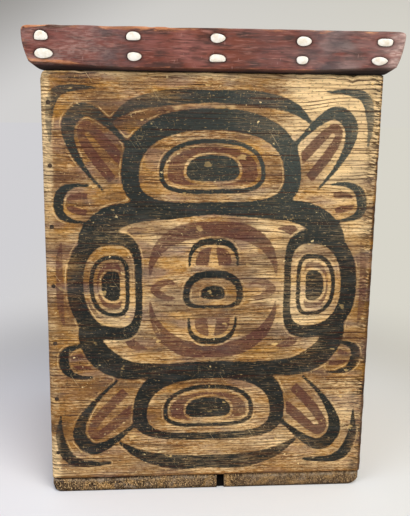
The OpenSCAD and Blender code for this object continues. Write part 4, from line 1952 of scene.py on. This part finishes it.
@dataclass
class BaseBoard:
    """The thick base board with its raised middle and the notch in its front edge."""

    rim: float = 18.0
    wall: float = 18.0
    gap: float = 0.5
    middle_slant: float = 0.3
    corner: float = 12.0
    edge_radius: float = 2.5
    end_rise: float = 6.0
    end_run: float = 10.0
    knocked_back: Fade = (45, 15)
    knocked_rise: float = 7.0
    knocked_run: float = 8.0
    dents: Patchwork = Patchwork(9, 6, 41, 0.8, (1.0, 0.3))
    dent_margin: float = 0.6
    peg_play: float = 0.15
    notch_x: float = 15.0
    notch_w: float = 9.0
    notch_depth: float = 12.0
    notch_foot: float = 4.0
    notch_taper: float = 0.8
    notch_lip: float = 1.5
    notch_side: float = 0.6
    notch_play: float = 0.5
    cutter_reach: float = 5.0
    # Painted shadow along the seam with the walls, darker at the left, and painted shade under the lower
    # edge
    seam_shadow: float = 0.25
    left_seam_shadow: Ramp = Ramp(0.6, -40, -130)
    seam_reach: Fade = (2.0, 0.6)
    foot_shade: Ramp = Ramp(0.7, 5.5, 0.4)
    dust_band: tuple[Fade, ...] = ((5.0, 3.0), (0.6, 1.6))
    dust_patches: Patchwork = Patchwork(30, 1, 42, 1.0, (1.0, 0.0))
    dust_levels: Fade = (0.2, 0.6)
    dusty_right: Fade = (70, 120)
    fewest_pores: float = 0.5
    more_pores: Ramp = Ramp(0.5, 60, 15)
    foot_rows: tuple[float, ...] = (0, 0.4, 1.0, 1.9, 3.0)
    middle_rows: tuple[float, float, int] = (4.5, 3.0, 6)
    rim_rows: tuple[float, ...] = (1.8, 1.0, 0.4, 0)
    step: float = 3.0
    deep_step: float = 8.0
    low: Array = field(init=False)
    high: Array = field(init=False)

    def __post_init__(self) -> None:
        """Takes the base's box from the frame."""
        self.low, self.high = (np.array(corner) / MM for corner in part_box("base_board"))

    def notch(self, material: bpy.types.Material) -> bpy.types.Object:
        """Cutter for the notch in the front edge, whose back slants.

        Args:
            material: what the cut shows.

        Returns:
            The cutter.
        """
        x0, x1 = self.notch_x - self.notch_w / 2, self.notch_x + self.notch_w / 2
        front, taper, past = self.low[1], self.notch_taper, self.cutter_reach
        points = []
        for z in (-past, self.rim + past):
            back = front + self.notch_foot + (self.notch_depth - self.notch_foot) * z / self.rim
            points += [(x0 - taper, front - past, z), (x1 + taper, front - past, z)]
            points += [(x1, back, z), (x0, back, z)]
        sides = [[i, (i + 1) % 4, (i + 1) % 4 + 4, i + 4] for i in range(4)]
        return make_piece("notch", np.array(points), [[3, 2, 1, 0], [4, 5, 6, 7], *sides], material)

    def age_and_painted_light(self, points: Array) -> dict[str, Array]:
        """How age has changed the base from place to place, and where shade is painted on it.

        Args:
            points: places on the base.

        Returns:
            Painted shade along the seam, under the lower edge and in the notch, dust along the upper edge,
            and pores.
        """
        x, y, z = points.T
        back, below = y - self.low[1], self.rim - z
        # Painted shadow along the seam with the walls, darker at the left
        seam = (self.seam_shadow + self.left_seam_shadow.at(x)) * smoothstep(*self.seam_reach, below)
        play = self.notch_play
        # The notch's inside is painted in full shade
        in_notch = (np.abs(x - self.notch_x) < 0.5 * self.notch_w + self.notch_side) & (below > -play)
        in_notch &= (back > self.notch_lip) & (back < self.notch_depth + play)
        patchy = smoothstep(*self.dust_levels, self.dust_patches.at(x, 0 * x, y))
        dusty = np.maximum(patchy, smoothstep(*self.dusty_right, x))
        return {"shade_and_grime": np.maximum(np.maximum(seam, self.foot_shade.at(z)), in_notch),
                "rubbed": faded(below, *self.dust_band) * dusty,
                "pitted": self.fewest_pores + self.more_pores.at(x)}

    def build(self, finish: BaseCedar) -> None:
        """Builds and dresses the base.

        Args:
            finish: its material.
        """
        raised = self.high[:2] - self.wall - self.gap
        first, last, count = self.middle_rows
        tall = np.concatenate([self.foot_rows, np.linspace(first, self.rim - last, count),
                               self.rim - np.array(self.rim_rows)])
        across, deep = (
            spaced(self.high[i], step, (raised[i], raised[i] - self.middle_slant))
            for i, step in enumerate((self.step, self.deep_step)))
        points, faces, level = WornBlock(across, deep, tall, self.corner, self.edge_radius).lattice()
        knocked = smoothstep(*self.knocked_back, points[:, 1] - self.low[1]) * (points[:, 0] > 0)
        run = self.end_run + self.knocked_run * knocked
        past = np.clip((np.abs(points[:, 0]) - self.high[0] + run) / run, 0, 1)
        rise = (self.end_rise + self.knocked_rise * knocked) * (1 - np.sqrt(1 - past ** 2))
        points[:, 2] += rise * (1 - points[:, 2] / self.rim)
        in_middle = np.all(np.abs(points[:, :2]) < raised - self.middle_slant / 3, axis=1)
        points[(level == len(tall) - 1) & in_middle, 2] = self.high[2]
        piece = make_piece("base_board_dressed", points, faces, finish.material())
        x, y, z = points.T
        margin = self.dent_margin
        press_in(piece, self.dents.at(x, z, y) * (z > margin) * (z < self.rim - margin))
        sides = ("front", "back", "left", "right")
        holes = [peg_cutter("base_pegs_" + side, (0, 0, -1), self.peg_play) for side in sides]
        cut_out(piece, [self.notch(piece.data.materials[0]), *holes])
        shade(piece)
        for name, values in self.age_and_painted_light(read_points(piece)).items():
            put_values(piece, name, values)
        settle(piece, Body.BOX, Slot.BASE, "base_board")


# The studio


class SoftBox(NamedTuple):
    """A round soft box: its name, its place, target and diameter in metres, its watts and its colour."""

    name: str
    at: tuple[float, float, float]
    target: tuple[float, float, float]
    size: float
    watts: float
    code: str


@dataclass(frozen=True)
class Studio:
    """Plain paper floor, soft lamps and the camera at the photograph's place, all in metres."""

    paper: tuple[str, str] = ("#ecedf3", "#ecedea")
    paper_reach: float = 0.3
    paper_roughness: float = 0.9
    paper_gloss: float = 0.1
    # The paper greys into the backdrop's painted shade, and then glows with it instead of taking light
    paper_greys: Fade = (0.25, 0.6)
    shadow_ends: Fade = (0.35, 0.9)
    floor_radius: float = 14.0
    floor_sides: int = 96
    sweep: tuple[str, str] = ("#d1d0d3", "#d8d5ca")
    sweep_reach: float = 0.5
    sky_reach: float = 0.4
    # A painted shadow on the backdrop, darkest in the upper left corner and faint toward the top
    corner: str = "#8d8a86"
    corner_way: tuple[float, float, float] = (-0.6, 0.0, 1.0)
    corner_dims: Fade = (0.088, 0.27)
    corner_across: Fade = (-0.27, -0.20)
    corner_ahead: Fade = (0.92, 0.965)
    top_dims: Fade = (0.06, 0.13)
    top_share: float = 0.12
    ambient: str = "#f2f4f8"
    ambient_strength: float = 0.55
    lamps: tuple[SoftBox, ...] = (
        SoftBox("key_softbox", (0.65, -1.7, 2.1), (0, 0, 0.3), 1.8, 46, "#fffaf2"),
        SoftBox("fill_softbox", (-1.5, -1.4, 1.4), (0, 0, 0.25), 1.8, 17, "#f2f4ff"))
    image_w: int = 410
    image_h: int = 516
    focal_px: float = 746.0
    sensor_mm: float = 36.0
    yaw: float = -0.0799
    pitch: float = 0.2101
    roll: float = 0.0137
    eye: tuple[float, float, float] = (-0.0794, -1.0551, 0.4931)

    def tinted(self, tree: Tree, codes: tuple[str, str], spot: Socket, reach: float) -> Socket:
        """A colour that is a little cooler at the left and warmer at the right.

        Args:
            tree: the tree that gets the colour.
            codes: its left and right ends.
            spot: place or direction.
            reach: how far to each side the change runs.

        Returns:
            The colour.
        """
        across = add_node(tree, "ShaderNodeSeparateXYZ", {}, {0: spot}).outputs[0]
        share = add_node(tree, "ShaderNodeMapRange", {1: -reach, 2: reach}, {0: across})
        tints = {"data_type": "RGBA", 6: linear(codes[0]), 7: linear(codes[1])}
        return add_node(tree, "ShaderNodeMix", tints, {0: share.outputs[0]}).outputs[2]

    def floor(self) -> None:
        """Pale matt paper whose colour greys with distance, as painted shade of a swept backdrop; far off it
        glows with that grey and takes no light.
        """
        bm = bmesh.new()
        bmesh.ops.create_circle(bm, cap_ends=True, segments=self.floor_sides, radius=self.floor_radius)
        mesh = bpy.data.meshes.new("studio_floor")
        bm.to_mesh(mesh)
        bm.free()
        floor = add_object("studio_floor", mesh)
        material, tree, shader = start_material("matt backdrop paper")
        mesh.materials.append(material)
        spot = add_node(tree, "ShaderNodeTexCoord").outputs["Object"]
        away = add_node(tree, "ShaderNodeVectorMath", {"operation": "LENGTH"}, {0: spot}).outputs["Value"]
        paper = self.tinted(tree, self.paper, spot, self.paper_reach)
        backdrop = self.tinted(tree, self.sweep, spot, self.sweep_reach)
        greyed, unlit = (
            add_node(tree, "ShaderNodeMapRange", {"interpolation_type": "SMOOTHSTEP", 1: start, 2: full},
                     {0: away}).outputs[0]
            for start, full in (self.paper_greys, self.shadow_ends))
        colour = add_node(tree, "ShaderNodeMix", {"data_type": "RGBA"}, {0: greyed, 6: paper, 7: backdrop})
        tree.links.new(colour.outputs[2], shader.inputs["Base Color"])
        shader.inputs["Roughness"].default_value = self.paper_roughness
        shader.inputs["Specular IOR Level"].default_value = self.paper_gloss
        # Painted shade that glows: far off, the paper shows the backdrop's grey and takes no light
        far = add_node(tree, "ShaderNodeEmission", {"Strength": 1.0}, {"Color": backdrop})
        mixed = add_node(tree, "ShaderNodeMixShader", {},
                         {0: unlit, 1: shader.outputs[0], 2: far.outputs[0]})
        tree.links.new(mixed.outputs[0], tree.nodes["Material Output"].inputs["Surface"])

    def world(self) -> None:
        """Even light from all round, with the backdrop's grey where the camera or a gloss sees it, and a
        painted shadow that darkens it toward the top and into the upper left corner.
        """
        world = bpy.data.worlds.new("studio")
        bpy.context.scene.world = world
        world.use_nodes = True
        tree = world.node_tree
        light = tree.nodes["Background"]
        light.inputs["Color"].default_value = linear(self.ambient)
        light.inputs["Strength"].default_value = self.ambient_strength
        way = add_node(tree, "ShaderNodeTexCoord").outputs["Generated"]
        across, ahead, up = add_node(tree, "ShaderNodeSeparateXYZ", {}, {0: way}).outputs
        toward = add_node(tree, "ShaderNodeVectorMath", {"operation": "DOT_PRODUCT", 1: self.corner_way},
                          {0: way}).outputs["Value"]
        dims, within, facing, high = (
            add_node(tree, "ShaderNodeMapRange",
                     {"interpolation_type": easing, 1: start, 2: full, 4: most}, {0: value}).outputs[0]
            for value, (start, full), most, easing in (
                (toward, self.corner_dims, 1.0, "SMOOTHSTEP"), (across, self.corner_across, 1.0, "LINEAR"),
                (ahead, self.corner_ahead, 1.0, "LINEAR"), (up, self.top_dims, self.top_share, "LINEAR")))
        # Painted shadow: the backdrop darkens toward the top and into the upper left corner
        grey = coat(tree, self.tinted(tree, self.sweep, way, self.sky_reach), self.corner, high)
        grey = coat(tree, grey, self.corner, dims, within, facing)
        seen = add_node(tree, "ShaderNodeBackground", {"Strength": 1.0}, {"Color": grey})
        path = add_node(tree, "ShaderNodeLightPath")
        shown = path.outputs["Is Camera Ray"]
        for kind in ("Is Glossy Ray", "Is Transmission Ray"):
            shown = add_node(tree, "ShaderNodeMath", {"operation": "MAXIMUM"},
                             {0: shown, 1: path.outputs[kind]}).outputs[0]
        mixed = add_node(tree, "ShaderNodeMixShader", {},
                         {0: shown, 1: light.outputs[0], 2: seen.outputs[0]})
        tree.links.new(mixed.outputs[0], tree.nodes["World Output"].inputs["Surface"])

    def hang(self, box: SoftBox) -> None:
        """Adds one soft box.

        Args:
            box: what it is and where it hangs.
        """
        data = bpy.data.lights.new(box.name, "AREA")
        data.shape, data.size, data.energy, data.color = "DISK", box.size, box.watts, linear(box.code)[:3]
        lamp = add_object(box.name, data)
        lamp.location = box.at
        lamp.rotation_mode = "QUATERNION"
        lamp.rotation_quaternion = (Vector(box.target) - Vector(box.at)).to_track_quat("-Z", "Y")

    def camera(self) -> None:
        """Sets the camera where the photograph was taken from."""
        level = math.cos(self.pitch)
        back = Vector((math.sin(self.yaw) * level, -math.cos(self.yaw) * level, math.sin(self.pitch)))
        right = (-back).cross(Vector((0, 0, 1))).normalized()
        up = right.cross(-back)
        x_axis = right * math.cos(self.roll) + up * math.sin(self.roll)
        y_axis = up * math.cos(self.roll) - right * math.sin(self.roll)
        data = bpy.data.cameras.new("camera")
        data.sensor_width = self.sensor_mm
        data.lens = self.sensor_mm * self.focal_px / max(self.image_w, self.image_h)
        camera = add_object("camera", data)
        turn = Matrix((x_axis, y_axis, back)).transposed().to_4x4()
        camera.matrix_world = Matrix.Translation(Vector(self.eye)) @ turn
        bpy.context.scene.camera = camera

    def build(self) -> None:
        """Builds the whole studio."""
        self.floor()
        self.world()
        for box in self.lamps:
            self.hang(box)
        self.camera()
        bpy.context.scene.view_settings.view_transform = "Standard"
        LOG.info("studio: paper floor, %d soft boxes and the camera", len(self.lamps))


def dress_pegs(finish: PegWood) -> None:
    """Gives the CAD pegs, which keep their own shapes, the finish of old pegs.

    Args:
        finish: their wood.
    """
    material = finish.material()
    for name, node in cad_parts.items():
        if "_pegs" in name:
            node.data.materials.clear()
            node.data.materials.append(material)
            LOG.info("%s: CAD shape kept, finish %s", name, material.name)


def main() -> None:
    """Builds the studio and every dressed piece, in order."""
    logging.basicConfig(level=logging.INFO, format="%(name)s %(message)s")
    Studio().build()
    BentPlank().build(PaintedCedar(), FrontPainting())
    lid = PlankLid()
    shells = [ShellInlay(name, lid) for name in SHELL_FORMS]
    lid.build(OchredLid(), shells)
    polished = PolishedShell().material()
    for shell in shells:
        shell.build(polished)
    BaseBoard().build(BaseCedar())
    dress_pegs(PegWood())


if __name__ == "__main__":
    main()
